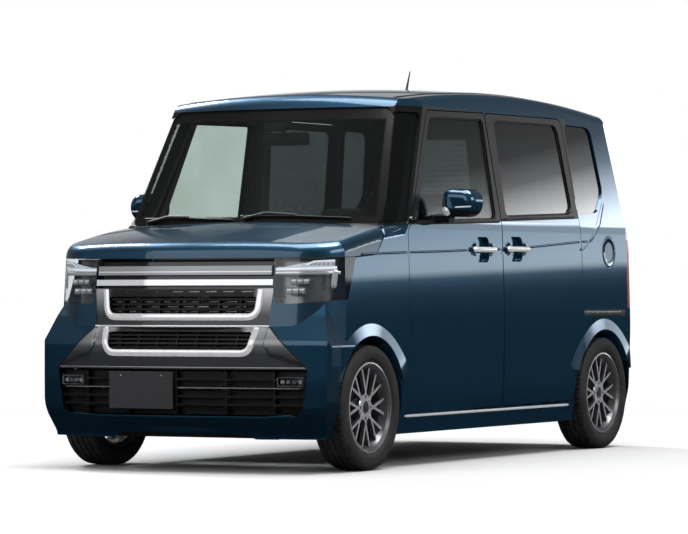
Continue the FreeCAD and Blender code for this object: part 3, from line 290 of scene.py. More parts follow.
def body_paint(name, black_band=None):
    """Metallic blue with flakes under lacquer; black_band gives the blacked-out window zone."""
    f = Finish(name, 0.35, 0.92, 1.0, 0.01)
    f.set("Coat IOR", 1.55)
    fleck = f.axis(0, f.cells(2600, "Color"))
    blue = f.ramp(fleck, [(0.0, BLUE), (0.75, BLUE), (1.0, shade(BLUE_LIGHT, 1.35))])
    blue = f.mix(f.span(f.noise(0.9, 2), 0.3, 0.7, 0.0, 0.35), blue, BLUE_LIGHT)
    if black_band is None:
        f.set("Base Color", blue)
        return f.varied(f.noise(1.8, 3), 0.33, 0.38).m
    mask = black_band(f)
    f.set("Base Color", f.mix(mask, blue, BLACKOUT))
    for socket, painted, black in (("Metallic", 0.75, 0.0), ("Roughness", 0.06, 0.30),
                                   ("Specular IOR Level", 0.5, 0.15), ("Coat Weight", 1.0, 0.1)):
        f.set(socket, f.mix(mask, painted, black))
    return f.m


def door_band(f):
    """Between the belt line, which climbs towards the tail, and the top of the doors."""
    level = f.math("SUBTRACT", f.axis(2), f.math("MULTIPLY", f.axis(1), BELT_RISE))
    return f.both(f.math("GREATER_THAN", level, BELT), f.below(2, DOOR_TOP))


def side_band(f):
    """The same band on the body side, ending ahead of the quarter glass."""
    return f.both(door_band(f), f.below(1, QUARTER_FRONT))


PAINT = body_paint("body_lacquer")
DOOR_PAINT = body_paint("door_lacquer", door_band)
SIDE_PAINT = body_paint("side_lacquer", side_band)
MIRROR_PAINT = body_paint("mirror_lacquer", lambda f: f.below(2, MIRROR_MIDDLE))


def grained(name, colour, rough=0.5, scale=900, strength=0.25):
    """Moulded plastic with a leather-like grain."""
    f = Finish(name, rough)
    f.two_tone(14, shade(colour, 0.82), shade(colour, 1.18), (rough - 0.06, rough + 0.06))
    return f.bump(f.cells(scale), strength, 0.0004).m


def metal(name, colour, rough, scale=40, stretch=None, spread=0.05, strength=0.03, metallic=1.0):
    """Bare or plated metal with faint unevenness."""
    f = Finish(name, rough, metallic)
    pattern = f.noise(scale, 4, stretch)
    f.set("Base Color", f.blend(pattern, shade(colour, 0.9), colour))
    f.varied(pattern, max(rough - spread, 0.02), rough + spread)
    return f.bump(pattern, strength, 0.0003).m


BLACK = grained("black_moulding", (0.007, 0.007, 0.0075), 0.45)
GLOSS_BLACK = Finish("gloss_black", 0.12, 0.0, 0.6).two_tone(
    6, (0.004, 0.004, 0.005), (0.008, 0.008, 0.009), (0.08, 0.16)).m
LOUVRE_BLACK = grained("louvre_black", (0.0035, 0.0035, 0.004), 0.42, 600, 0.1)
INTERIOR = grained("interior_moulding", (0.055, 0.052, 0.052), 0.55, 700)
INTERIOR_LIGHT = grained("headlining", (0.12, 0.117, 0.112), 0.85, 420, 0.5)
TRIM_GREY = grained("trim_grey", (0.09, 0.085, 0.08), 0.6, 700)
CHROME = metal("bright_plating", (0.93, 0.935, 0.95), 0.10, 30, None, 0.03, 0.01, 0.5)


def satin_finish():
    """Satin-plated mask, dark across the middle; up the side arms it is coloured pale as a painted reflection of the
    bright studio.
    """
    f = Finish("satin_mask", 0.34, 0.85, 0.4)
    x, z = f.from_middle(), f.axis(2)
    # painted reflection: the masks below mark the upper side arms and the foot of the lower arms, where the plating
    # would mirror the bright studio
    upper = f.both(f.span(x, 0.372, 0.402), f.span(z, 0.690, 0.800))
    foot = f.math("ADD", x, f.math("MULTIPLY", z, 0.55))
    lower = f.both(f.both(f.span(foot, 0.655, 0.690), f.span(z, 0.520, 0.640)), f.below(2, 0.646))
    bright = f.math("POWER", f.math("MAXIMUM", upper, lower), 1.3)
    grain = f.noise(900, 2)
    dark = f.blend(grain, (0.070, 0.073, 0.078), (0.090, 0.093, 0.098), 0.35, 0.65)
    pale = f.blend(grain, (0.62, 0.63, 0.65), (0.70, 0.71, 0.73), 0.35, 0.65)
    # the pale colour is painted reflection laid over the satin's own dark grey
    f.set("Base Color", f.mix(bright, dark, pale))
    return f.varied(grain, 0.31, 0.37).m


SATIN = satin_finish()
FIN_GREY = metal("fin_plating", (0.34, 0.345, 0.355), 0.25, 60, None, 0.05, 0.02, 0.8)
STEEL = metal("underbody_steel", (0.16, 0.16, 0.17), 0.5, 18, None, 0.1, 0.2)
IRON = metal("cast_iron", (0.13, 0.13, 0.13), 0.6, 160, None, 0.1, 0.5)
EXHAUST = metal("exhaust_steel", (0.42, 0.40, 0.37), 0.35, 9, (1, 8, 1), 0.1, 0.1)
DISC = metal("brake_disc", (0.42, 0.42, 0.43), 0.3, 300, (0.05, 4, 4), 0.08, 0.1)


def alloy_finish():
    """Dark wheel with a machined bright face: lathe rings on what faces outwards."""
    f = Finish("machined_alloy", 0.3, 0.7, 0.35)
    facing = f.from_middle(0, f.place.node.outputs["Normal"])
    face = f.both(f.span(facing, 0.70, 0.84), f.span(f.from_middle(), 0.672, 0.678))
    dark = f.blend(f.noise(60), (0.10, 0.102, 0.108), (0.13, 0.132, 0.14))
    bright = f.blend(f.noise(500, 2, (0.02, 1, 1)), (0.52, 0.53, 0.55), (0.66, 0.67, 0.69))
    f.set("Base Color", f.mix(face, dark, bright))
    return f.set("Roughness", f.mix(face, 0.34, 0.24)).m


def tyre_finish():
    """Rubber with a fine grain and dust in patches."""
    f = Finish("tyre_rubber", 0.72)
    pattern = f.noise(35, 5)
    f.set("Base Color", f.blend(pattern, (0.008, 0.008, 0.008), (0.020, 0.020, 0.0195)))
    f.varied(pattern, 0.62, 0.82)
    return f.bump(f.noise(700, 2), 0.25, 0.0004).m


ALLOY, RUBBER = alloy_finish(), tyre_finish()


def clear_glass(name, tint, printed=None, rough=0.0, mirror=0.04):
    """Thin glass: what is behind shows through tinted, and it mirrors at low angles.

    printed gives what is fired on in black, and mirror the share seen straight on."""
    f = Finish(name, rough, 1.0)
    face = f.blend(f.noise(5, 1), (0.90, 0.92, 0.93), (0.95, 0.96, 0.97))
    see = f.node("BsdfTransparent", {"Color": f.blend(f.noise(2.2, 1), tint, shade(tint, 0.94))})
    facing = f.node("LayerWeight", {"Blend": 0.5}).outputs["Facing"]
    share = f.math("ADD", f.math("MULTIPLY", f.math("POWER", facing, 4.0), 0.9), mirror)
    if printed is not None:
        dark = printed(f)
        share = f.math("MAXIMUM", share, dark)
        face = f.mix(dark, face, (0.006, 0.006, 0.006))
        f.set("Metallic", f.math("SUBTRACT", 1.0, dark))
        f.set("Roughness", f.math("MULTIPLY", dark, 0.15))
    f.set("Base Color", face)
    blend = f.node("MixShader", {0: share, 1: see.outputs[0], 2: f.b.outputs[0]})
    f.put(f.t.nodes["Material Output"].inputs["Surface"], blend.outputs[0])
    return f.m


def black_border(f):
    """The fired black border of the windscreen, which breaks into dots at its inner edge."""
    z = f.axis(2)
    taper = f.math("ADD", f.from_middle(), f.math("MULTIPLY", z, 0.145))
    edge = f.math("MAXIMUM", f.span(taper, 0.778, 0.796),
                  f.math("MAXIMUM", f.span(z, 1.572, 1.600), f.span(z, 1.150, 1.128)))
    dots = f.math("MULTIPLY", f.cells(190), 0.9)
    return f.math("GREATER_THAN", f.math("SUBTRACT", edge, dots), 0.12)


def heater_lines(f):
    """The heater wires of the rear window."""
    wire = f.math("GREATER_THAN", f.waves(12.0, "Z"), 0.985)
    return f.both(wire, f.span(f.from_middle(), 0.48, 0.478))


CLEAR_TINT, DARK_TINT = (0.86, 0.91, 0.89), (0.26, 0.28, 0.29)
CLEAR = clear_glass("window_glass", CLEAR_TINT)
SCREEN = clear_glass("windscreen_glass", CLEAR_TINT, black_border)
PRIVACY = clear_glass("privacy_glass", DARK_TINT, mirror=0.14)
REAR_GLASS = clear_glass("rear_glass", DARK_TINT, heater_lines, mirror=0.14)
LENS = clear_glass("lamp_lens", (0.93, 0.95, 0.97), None, 0.02, 0.06)


def lit(name, colour, strength, rough=0.2, ribs=220):
    """A light guide: bright plastic with fine ribs and a faint glow."""
    f = Finish(name, rough, 0.0, 0.8)
    rib = f.waves(ribs, "X")
    f.set("Base Color", f.blend(rib, shade(colour, 0.8), colour, 0.2, 0.8))
    f.set("Emission Color", f.blend(rib, shade(colour, 0.9), colour, 0.2, 0.8))
    f.set("Emission Strength", strength)
    return f.bump(rib, 0.3, 0.0006).m


GUIDE = lit("light_guide", (0.85, 0.88, 0.92), 0.25)
GLOW = lit("lamp_glow", (0.70, 0.73, 0.77), 0.12, 0.25, 60)
LAMP_DARK = Finish("lamp_bezel", 0.18, 0.7, 0.8).two_tone(
    30, (0.16, 0.163, 0.17), (0.26, 0.263, 0.27), (0.14, 0.24)).m
REFLECTOR = metal("lamp_reflector", (0.80, 0.81, 0.83), 0.14, 260, None, 0.06, 0.4, 0.7)


def tail_finish():
    """Red lens with fine level ribs, clear at the reversing lamp and the indicator."""
    f = Finish("tail_lens", 0.06, 0.0, 1.0, 0.02, 1.55)
    rib = f.waves(140, "Z")
    red = f.blend(rib, (0.13, 0.002, 0.003), (0.26, 0.006, 0.008), 0.1, 0.9)
    clear = f.blend(rib, (0.42, 0.43, 0.45), (0.72, 0.73, 0.76), 0.1, 0.9)
    white = f.both(f.above(2, 1.055), f.below(2, 1.192))
    f.set("Base Color", f.mix(white, red, clear))
    f.set("Emission Color", f.mix(white, (0.30, 0.004, 0.006), (0.05, 0.05, 0.05)))
    f.set("Emission Strength", 0.06)
    return f.bump(rib, 0.2, 0.0005).m


def cloth_finish(name, dark, light, scale=900):
    """Woven cover cloth."""
    f = Finish(name, 0.92)
    f.set("Sheen Weight", 0.35)
    weave = f.both(f.waves(scale * 0.35, "X", 0.6), f.waves(scale * 0.35, "Z", 0.6))
    f.set("Base Color", f.mix(f.both(weave, f.noise(60, 5)), dark, light))
    return f.bump(weave, 0.5, 0.0006).m


TAIL = tail_finish()
SEAT_CLOTH = cloth_finish("seat_cloth", (0.045, 0.043, 0.042), (0.15, 0.145, 0.14))
SEAT_SIDE = grained("seat_leatherette", (0.050, 0.048, 0.047), 0.42, 520, 0.35)
CARPET = cloth_finish("carpet", (0.012, 0.012, 0.012), (0.05, 0.048, 0.046), 400)
THREAD = cloth_finish("seam_thread", (0.10, 0.10, 0.10), (0.30, 0.29, 0.28), 2400)
PLATE = Finish("blank_plate", 0.42, 0.3).two_tone(
    700, (0.030, 0.031, 0.033), (0.040, 0.0415, 0.044), (0.38, 0.46)).m
SCREEN_OFF = Finish("display", 0.06, 0.0, 1.0).two_tone(
    4, (0.003, 0.003, 0.004), (0.006, 0.006, 0.008), (0.04, 0.08)).m
MIRROR_GLASS = metal("mirror_face", (0.75, 0.78, 0.80), 0.03, 3, None, 0.01, 0.0)


def strip_finish():
    """The front face's light strip above and its plated bar below."""
    f = Finish("front_bars", 0.08, 1.0, 0.3)
    upper = f.above(2, 0.862)
    off_line = f.math("ABSOLUTE", f.math("SUBTRACT", f.axis(2), 0.886))
    strip = f.mix(f.span(off_line, 0.0020, 0.0030), (0.75, 0.77, 0.80), (0.30, 0.31, 0.33))
    plated = f.blend(f.noise(30), (0.84, 0.85, 0.87), (0.9, 0.91, 0.93))
    f.set("Base Color", f.mix(upper, plated, strip))
    f.set("Roughness", f.mix(upper, 0.07, 0.22))
    f.set("Metallic", f.mix(upper, 0.45, 0.5))
    return f.bump(f.both(f.waves(160, "X"), upper), 0.15, 0.0004).m


BARS = strip_finish()


# ---------------------------------------------------------------- mesh helpers
USUAL_SLOT = {PAINT: "paint", SIDE_PAINT: "paint", BLACK: "black_trim",
              GLOSS_BLACK: "black_trim", LOUVRE_BLACK: "black_trim", CHROME: "chrome",
              SATIN: "satin", FIN_GREY: "satin", INTERIOR: "plastic", INTERIOR_LIGHT: "plastic",
              TRIM_GREY: "plastic", SEAT_SIDE: "plastic", THREAD: "cloth", STEEL: "steel",
              IRON: "iron", RUBBER: "rubber", TAIL: "tail_lamp", GUIDE: "lamp", GLOW: "lamp",
              LAMP_DARK: "lamp", REFLECTOR: "lamp", MIRROR_GLASS: "glass", SCREEN_OFF: "glass"}


def piece(name, verts, faces, finish, body="body", angle=38, slot=None):
    """A mesh in the row frame, shaded smooth below an edge angle, riding on a body."""
    mesh = bpy.data.meshes.new(name)
    mesh.from_pydata([tuple(v) for v in verts], [], faces)
    work = bmesh.new()
    work.from_mesh(mesh)
    bmesh.ops.remove_doubles(work, verts=work.verts, dist=1e-6)
    bmesh.ops.recalc_face_normals(work, faces=work.faces)
    work.to_mesh(mesh)
    work.free()
    mesh.shade_smooth()
    mesh.set_sharp_from_angle(angle=math.radians(angle))
    obj = bpy.data.objects.new(name, mesh)
    scene.collection.objects.link(obj)
    mesh.materials.append(finish)
    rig.ride(obj, body)
    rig.slot(obj, slot or USUAL_SLOT[finish])
    return obj


def many(name, parts, finish, body="body", angle=38, slot=None):
    """Several (verts, faces) lots as one piece."""
    verts, faces = [], []
    for some, those in parts:
        start = len(verts)
        verts.extend(some)
        faces.extend(tuple(start + i for i in f) for f in those)
    return piece(name, verts, faces, finish, body, angle, slot)


def grid_faces(rows, size, closed):
    """Quads between rows of points that lie one after another in a list."""
    return [(i * size + k, i * size + (k + 1) % size,
             (i + 1) * size + (k + 1) % size, (i + 1) * size + k)
            for i in range(rows - 1) for k in range(size if closed else size - 1)]


def end_faces(rows, size):
    """The two ends of a bar made of rows of points."""
    return [tuple(range(size)), tuple((rows - 1) * size + k for k in reversed(range(size)))]


def surface_of(*names):
    """The surfaces of some CAD nodes, to seat trim on."""
    verts, faces = [], []
    for name in names:
        mesh = nodes[name].data
        start = len(verts)
        verts.extend(v.co.copy() for v in mesh.vertices)
        faces.extend([start + i for i in p.vertices] for p in mesh.polygons)
    return BVHTree.FromPolygons(verts, faces)


NUDGES = (0, 1, -1, 3, -3, 8, -8, 15, -15)      # tried in turn where a drop meets a gap


def caster(tree, direction, far=3.0):
    """A function that drops a point of a flat view onto a surface: millimetres in, metres out."""
    way = Vector(direction)
    axis = max(range(3), key=lambda i: abs(way[i]))

    def drop(u, v):
        spot = [u * MM, v * MM]
        spot.insert(axis, -far * way[axis])
        for nudge in NUDGES:
            for other in ((0,) if nudge == 0 else (0, 1)):
                start = Vector(spot)
                start[(axis + 1 + other) % 3] += nudge * MM
                hit, normal, _, _ = tree.ray_cast(start, way)
                if hit is not None:
                    hit = hit.copy()
                    hit[(axis + 1 + other) % 3] -= nudge * MM
                    return hit, (normal if normal.dot(way) < 0 else -normal)
        raise ValueError("nothing under %s, %s" % (u, v))

    return drop


def raised(drop, height):
    """The same drop, its hits moved along the surface's normals by a height in metres."""
    def moved(u, v):
        hit, normal = drop(u, v)
        return hit + normal * height, normal
    return moved


def polyline(corners, step=12.0, closed=False):
    """Evenly spaced points along a path whose corners (u, v, radius) are rounded."""
    count = len(corners)
    bare = [Vector(c[:2]) for c in corners]
    radii = [c[2] if len(c) > 2 else 0.0 for c in corners]
    path = []
    for i, corner in enumerate(bare):
        if radii[i] == 0 or (not closed and i in (0, count - 1)):
            path.append(corner)
            continue
        before = bare[i - 1] - corner
        after = bare[(i + 1) % count] - corner
        turn = math.pi - before.angle(after)
        cut = min(radii[i] * math.tan(turn / 2), before.length * 0.48, after.length * 0.48)
        start, end = corner + before.normalized() * cut, corner + after.normalized() * cut
        for k in range(9):
            w = k / 8
            path.append((1 - w) ** 2 * start + 2 * w * (1 - w) * corner + w * w * end)
    if closed:
        path.append(path[0])
    lengths = [0.0]
    for a, b in zip(path, path[1:]):
        lengths.append(lengths[-1] + (b - a).length)
    samples = max(2, int(round(lengths[-1] / step)))
    points, i = [], 0
    for k in range(samples + (0 if closed else 1)):
        want = lengths[-1] * k / samples
        while i < len(path) - 2 and lengths[i + 1] < want:
            i += 1
        part = (want - lengths[i]) / max(lengths[i + 1] - lengths[i], 1e-9)
        points.append(path[i].lerp(path[i + 1], min(max(part, 0), 1)))
    return points


# sections of a strip: across and up, as shares of its width and height
ROUND = [(-0.5, -0.5), (-0.5, 0.1), (-0.43, 0.55), (-0.27, 0.88), (0, 1.0), (0.27, 0.88),
         (0.43, 0.55), (0.5, 0.1), (0.5, -0.5)]
FLAT = [(-0.5, -0.5), (-0.5, 0.6), (-0.44, 0.92), (-0.36, 1.0), (0.36, 1.0), (0.44, 0.92),
        (0.5, 0.6), (0.5, -0.5)]


def averaged(vectors, closed, reach=2):
    """Directions smoothed along a path."""
    count = len(vectors)
    out = []
    for i in range(count):
        total = Vector((0, 0, 0))
        for k in range(-reach, reach + 1):
            total += vectors[(i + k) % count if closed else min(max(i + k, 0), count - 1)]
        out.append(total.normalized())
    return out


def sweep(hits, width, height, section=ROUND, closed=False, end=0.0, lift=None):
    """A section carried along (spot, normal) pairs on a surface; sizes in mm."""
    spots, count = [h[0] for h in hits], len(hits)
    normals = averaged([h[1] for h in hits], closed)
    verts = []
    run = [0.0]
    for a, b in zip(spots, spots[1:]):
        run.append(run[-1] + (b - a).length)
    for i, spot in enumerate(spots):
        after = spots[(i + 1) % count] if closed or i < count - 1 else spots[i]
        before = spots[i - 1] if closed or i > 0 else spots[i]
        along = (after - before).normalized()
        across = normals[i].cross(along).normalized()
        grow = 1.0
        if end and not closed:
            near = min(run[i], run[-1] - run[i]) / (end * MM)
            grow = math.sqrt(max(0.04, 1 - (1 - min(near, 1)) ** 2))
        up = lift(i / (count - 1)) if lift else 0.0
        for a, b in section:
            verts.append(spot + across * (a * width * grow * MM)
                         + normals[i] * ((b * height * grow + up) * MM))
    size = len(section)
    faces = [tuple(v % (count * size) for v in face)
             for face in grid_faces(count + closed, size, True)]
    return verts, faces if closed else faces + end_faces(count, size)


def band(name, corners, drop, width, height, finish, body="body", section=FLAT, closed=False,
         end=0.0, step=12.0):
    """A strip of trim laid on a surface along a path."""
    hits = [drop(p.x, p.y) for p in polyline(corners, step, closed)]
    verts, faces = sweep(hits, width, height, section, closed, end)
    return piece(name, verts, faces, finish, body)


def lathed(profile, centre, axis="X", segments=48, start=0.0, sweep_angle=360.0):
    """A turned form: profile of (along, radius) in mm about an axis through a centre in mm."""
    full = sweep_angle >= 360
    count = segments if full else segments + 1
    verts = []
    for k in range(count):
        a = math.radians(start + sweep_angle * k / segments)
        c, s = math.cos(a), math.sin(a)
        for along, r in profile:
            local = {"X": (along, r * c, r * s), "Y": (r * s, along, r * c),
                     "Z": (r * c, r * s, along)}[axis]
            verts.append(Vector([(centre[i] + local[i]) * MM for i in range(3)]))
    size = len(profile)
    faces = []
    for k in range(segments if full else count - 1):
        for i in range(size - 1):
            n = (k + 1) % count
            faces.append((k * size + i, k * size + i + 1, n * size + i + 1, n * size + i))
    return verts, faces if full else faces + end_faces(count, size)


def slab(low, high, bevel=3.0, turn=(0, 0, 0), segments=3, taper=1.0):
    """A rounded moulding that fills a box; turn in degrees about its centre, sizes in mm."""
    low, high = Vector(low), Vector(high)
    centre, size = (low + high) / 2, high - low
    work = bmesh.new()
    bmesh.ops.create_cube(work, size=1.0)
    for v in work.verts:
        v.co = Vector([v.co[i] * size[i] for i in range(3)])
        if v.co.z > 0:
            v.co.x *= taper
            v.co.y *= taper
    bmesh.ops.bevel(work, geom=list(work.edges), offset=min(bevel, min(size) * 0.45),
                    segments=segments, profile=0.5, affect="EDGES")
    about_x, about_y, about_z = (Matrix.Rotation(math.radians(angle), 3, axis)
                                 for angle, axis in zip(turn, "XYZ"))
    spin = about_z @ about_y @ about_x
    work.verts.ensure_lookup_table()
    verts = [(spin @ v.co + centre) * MM for v in work.verts]
    faces = [tuple(v.index for v in f.verts) for f in work.faces]
    work.free()
    return verts, faces


def block(way, x, y, z, bevel, turn=(0, 0, 0)):
    """A slab from ranges, its x range mirrored on the car's right."""
    low, high = sorted((way * x[0], way * x[1]))
    return slab((low, y[0], z[0]), (high, y[1], z[1]), bevel, turn)


def tube(points, radius, sides=10):
    """A round bar through points in mm."""
    path = [Vector(p) * MM for p in points]
    verts = []
    for i, spot in enumerate(path):
        along = (path[min(i + 1, len(path) - 1)] - path[max(i - 1, 0)]).normalized()
        side = along.cross(Vector((0, 0, 1) if abs(along.z) < 0.95 else (1, 0, 0))).normalized()
        other = along.cross(side).normalized()
        r = (radius[i] if isinstance(radius, (list, tuple)) else radius) * MM
        for k in range(sides):
            a = 2 * math.pi * k / sides
            verts.append(spot + side * (r * math.cos(a)) + other * (r * math.sin(a)))
    return verts, grid_faces(len(path), sides, True) + end_faces(len(path), sides)


def smooth_path(points, per=8):
    """A soft curve through points."""
    pts = [Vector(p) for p in points]
    pts = [2 * pts[0] - pts[1]] + pts + [2 * pts[-1] - pts[-2]]
    out = []
    for i in range(1, len(pts) - 2):
        p0, p1, p2, p3 = pts[i - 1:i + 3]
        for k in range(per):
            t = k / per
            out.append(0.5 * ((2 * p1) + (p2 - p0) * t + (2 * p0 - 5 * p1 + 4 * p2 - p3) * t * t
                              + (3 * p1 - p0 - 3 * p2 + p3) * t ** 3))
    out.append(pts[-2])
    return [tuple(p) for p in out]


def draped(name, rows, drop, finish, body="body", closed=False):
    """A skin laid over a surface: rows of points (u, v, height above the surface) in mm."""
    verts = []
    for row in rows:
        for u, v, up in row:
            hit, normal = drop(u, v)
            verts.append(hit + normal * (up * MM))
    return piece(name, verts, grid_faces(len(rows), len(rows[0]), closed), finish, body, 50)


def dish(name, spot, rings, drop, finish, body, sides):
    """A round dish pressed about a point of a surface: rings of (radius, height) in mm."""
    turns = [2 * math.pi * k / sides for k in range(sides)]
    draped(name, [[(spot[0] + r * math.cos(a), spot[1] + r * math.sin(a), up) for a in turns]
                  for r, up in rings], drop, finish, body, True)


def flip(way, corners):
    """A path of the car's left side, mirrored for the right."""
    return [(way * c[0], *c[1:]) for c in corners]


# ---------------------------------------------------------------- finishes of the CAD nodes
by_slot = {"paint": PAINT, "black_trim": BLACK, "glass": CLEAR, "lamp": LAMP_DARK,
           "tail_lamp": TAIL, "satin": SATIN, "chrome": CHROME, "plate": PLATE,
           "rubber": RUBBER, "alloy": ALLOY, "steel": STEEL, "iron": IRON,
           "plastic": INTERIOR, "cloth": SEAT_CLOTH}
by_node = {"windscreen": SCREEN, "tailgate_glass": REAR_GLASS, "quarter_glass": PRIVACY,
           "grille_bars": BARS, "grille_panel": GLOSS_BLACK, "grille_slats": LOUVRE_BLACK,
           "lower_grille": LOUVRE_BLACK, "exhaust": EXHAUST}
for side, _ in SIDES:
    for stem, finish in (("sliding_glass_", PRIVACY), ("front_door_", DOOR_PAINT),
                         ("sliding_door_", DOOR_PAINT), ("body_side_", SIDE_PAINT),
                         ("front_fender_", SIDE_PAINT), ("mirror_", MIRROR_PAINT)):
        by_node[stem + side] = finish
for part in frame["record"]["subparts"]:
    materials = nodes[part["node"]].data.materials
    materials.clear()
    materials.append(by_node.get(part["node"], by_slot[part["material_slot"]]))


def second_finish(name, finish, test):
    """Gives the faces of a CAD node that pass a test another finish."""
    mesh = nodes[name].data
    mesh.materials.append(finish)
    for polygon in mesh.polygons:
        if test(polygon.center, polygon.normal):
            polygon.material_index = len(mesh.materials) - 1


for side, way in SIDES:
    for name in ("front_door_", "sliding_door_", "body_side_"):
        second_finish(name + side, TRIM_GREY, lambda p, n: n.x * way < -0.3 and abs(p.x) < 0.685)
    second_finish("knuckle_" + side, DISC, lambda p, n: (p.y - FRONT_AXLE * MM) ** 2
                  + (p.z - AXLE_Z * MM) ** 2 > 0.045 ** 2 and abs(p.x) > 0.585)
second_finish("roof_panel", INTERIOR_LIGHT, lambda p, n: n.z < -0.2 and p.z < 1.765)
second_finish("tailgate", TRIM_GREY, lambda p, n: n.y < -0.3)
second_finish("floor_pan", CARPET, lambda p, n: n.z > 0.3 or n.y > 0.5)
second_finish("headlamps", LENS, lambda p, n: n.y < -0.25 or n.x * p.x > 0.5 and abs(p.x) > 0.69)
second_finish("fog_lamps", LENS, lambda p, n: n.y < -0.5)
second_finish("cowl", BLACK, lambda p, n: True)
second_finish("rear_bumper", SIDE_PAINT, lambda p, n: abs(n.x) > 0.75)

FRONT = caster(surface_of("grille", "grille_bars", "grille_panel", "front_bumper", "lower_grille",
                          "grille_slats", "bonnet", "headlamps", "fog_lamps"), (0, 1, 0))
SCREEN_FACE = caster(surface_of("windscreen", "cowl", "bonnet"), (0, 1, 0))
TAIL_FACE = caster(surface_of("tailgate", "tailgate_glass", "rear_bumper", "tail_lamps",
                              "spoiler"), (0, -1, 0))
SIDE = {way: caster(surface_of(*[stem + side for stem in (
    "front_door_", "sliding_door_", "body_side_", "front_fender_", "door_glass_",
    "sliding_glass_")], "quarter_glass", "rear_bumper"), (-way, 0, 0)) for side, way in SIDES}

# ---------------------------------------------------------------- front trim
band("grille_rim_upper", [(-399, 808), (-385, 686, 54), (385, 686, 54), (399, 808)], FRONT, 30, 4,
     CHROME, section=ROUND, step=6)
band("grille_rim_lower", [(-389, 640), (-368, 527, 54), (368, 527, 54), (389, 640)], FRONT, 30, 4,
     CHROME, section=ROUND, step=6)
band("mask_step", [(-446, 646), (446, 646)], FRONT, 7, 4, CHROME)
band("apron_edge", [(-630, 463), (630, 463)], FRONT, 7, 3, FIN_GREY)
for side, start, stop in (("left", 4, 606), ("right", -606, -350)):
    band("lower_bar_" + side, [(start, 374), (stop, 374)], FRONT, 8, 10, FIN_GREY,
         section=ROUND, end=4)

# the apron's wings, straight down to the corners of the lower grille
WING_TOP, WING_DROP, WING_ROWS = 638, 172, 18
WING_LIFTS = [1.3] * 9 + [1.0, -5]
for side, way in SIDES:
    rows = []
    for k in range(WING_ROWS + 1):
        v = WING_TOP - WING_DROP * k / WING_ROWS
        outer = 449 + (WING_TOP - v) * 1.065
        inner = 400 + (WING_TOP - v) * 0.5
        rows.append([(way * (inner + (outer - inner) * min(i / 9, 1)), v, up)
                     for i, up in enumerate(WING_LIFTS)])
    draped("apron_wing_" + side, rows, FRONT, SATIN)
for side, way in SIDES:
    band("apron_gap_" + side, flip(way, [(455, 642), (636, 470)]), FRONT, 6, 1.6, LOUVRE_BLACK,
         step=9)


def fin(x, z, half, ahead, deep, thick, bevel=0.8, segments=2, sunk=0, at=None):
    """A louvre blade across the front, seated on the surface at its middle or at a point."""
    y = FRONT(*(at or (x, z)))[0].y / MM + sunk
    return slab((x - half, y - ahead, z - thick), (x + half, y + deep, z + thick), bevel,
                segments=segments)


# the upper grille's staggered fins; the top row, under the brow, sits deeper
band("grille_brow", [(-366, 792), (366, 792)], FRONT, 34, 1.0, LOUVRE_BLACK)
FIN_PITCH = 84
fins = []
for row, z in enumerate((797, 776, 753, 731, 710)):
    for k in range(-4, 5):
        x = k * FIN_PITCH + (FIN_PITCH // 2 if row % 2 else 0)
        if abs(x) <= 338:
            fins.append(fin(x, z, 28, 5, 9, 3.5, 2, 3, 0 if row else 4, (x - 27, z - 3)))
many("grille_fins", fins, FIN_GREY)
many("intake_fins", [fin(x, z, 27, 3, 6, 1.4) for z in range(548, 618, 9)
                     for x in range(-330, 331, 60)], LOUVRE_BLACK)
fins = []
for z in list(range(262, 370, 10)) + list(range(384, 440, 10)):
    reach = 585 if z > 300 else 278 + z
    for x in range(-reach + 30, reach, 62):
        if not -352 < x < 6:                    # that stretch is behind the number plate
            fins.append(fin(x, z, 28, 3, 5, 1.3))
many("lower_fins", fins, LOUVRE_BLACK)

for side, way in SIDES:
    rim = [(500, 384, 9), (618, 384, 9), (618, 422, 9), (500, 422, 9)]
    band("fog_rim_" + side, flip(way, rim), FRONT, 4, 6, LAMP_DARK, section=ROUND, closed=True,
         step=4)
    cells = []
    for x in range(518, 600, 27):
        y = FRONT(way * x, 403)[0].y / MM + 10
        cells.append(lathed([(-6, 0), (-6, 6), (-2, 10.5), (8, 11.5), (10, 0)],
                            (way * x, y, 403), "Y", 20))
    many("fog_cells_" + side, cells, REFLECTOR)

# headlamp insides: a light guide above, two stacked projector units below, a reflector shelf between
IN_LAMP = raised(FRONT, -0.012)
for side, way in SIDES:
    band("lamp_guide_" + side, flip(way, [(462, 896), (640, 900, 40), (706, 903)]), IN_LAMP,
         11, 6, GUIDE, step=8)
    band("lamp_blade_" + side, flip(way, [(600, 916), (630, 930, 12), (700, 934)]), IN_LAMP,
         8, 5, GUIDE, step=6)
    glow = []
    for u in range(464, 709, 12):
        rise = 19 + 24 * min(max((u - 500) / 130, 0), 1)
        glow.append([(way * u, 889 + rise * k / 4, -19) for k in range(5)])
    draped("lamp_glow_" + side, glow, FRONT, GLOW)
    band("lamp_shelf_" + side, flip(way, [(462, 880), (716, 880)]), IN_LAMP, 14, 5, REFLECTOR,
         step=8)
    units, frames, steps = [], [], []
    for x, z, width, tall in ((way * 566, 842, 96, 30), (way * 548, 800, 100, 32)):
        y = FRONT(x, z)[0].y / MM + 26
        frames.append(slab((x - width / 2, y, z - tall / 2),
                           (x + width / 2, y + 20, z + tall / 2), 5))
        for k in (-1, 0, 1):
            middle = x + k * (width / 3 - 1)
            units.append(slab((middle - width / 6 + 3, y - 5, z - tall / 2 + 5),
                              (middle + width / 6 - 3, y + 4, z + tall / 2 - 5), 4))
    many("lamp_frames_" + side, frames, LAMP_DARK)
    many("lamp_units_" + side, units, REFLECTOR)
    for x in range(612, 688, 15):
        y = FRONT(way * x, 918)[0].y / MM + 16
        steps.append(slab((way * x - 5, y, 912), (way * x + 5, y + 8, 926), 2, (0, 20 * way, 0)))
    many("lamp_steps_" + side, steps, REFLECTOR)

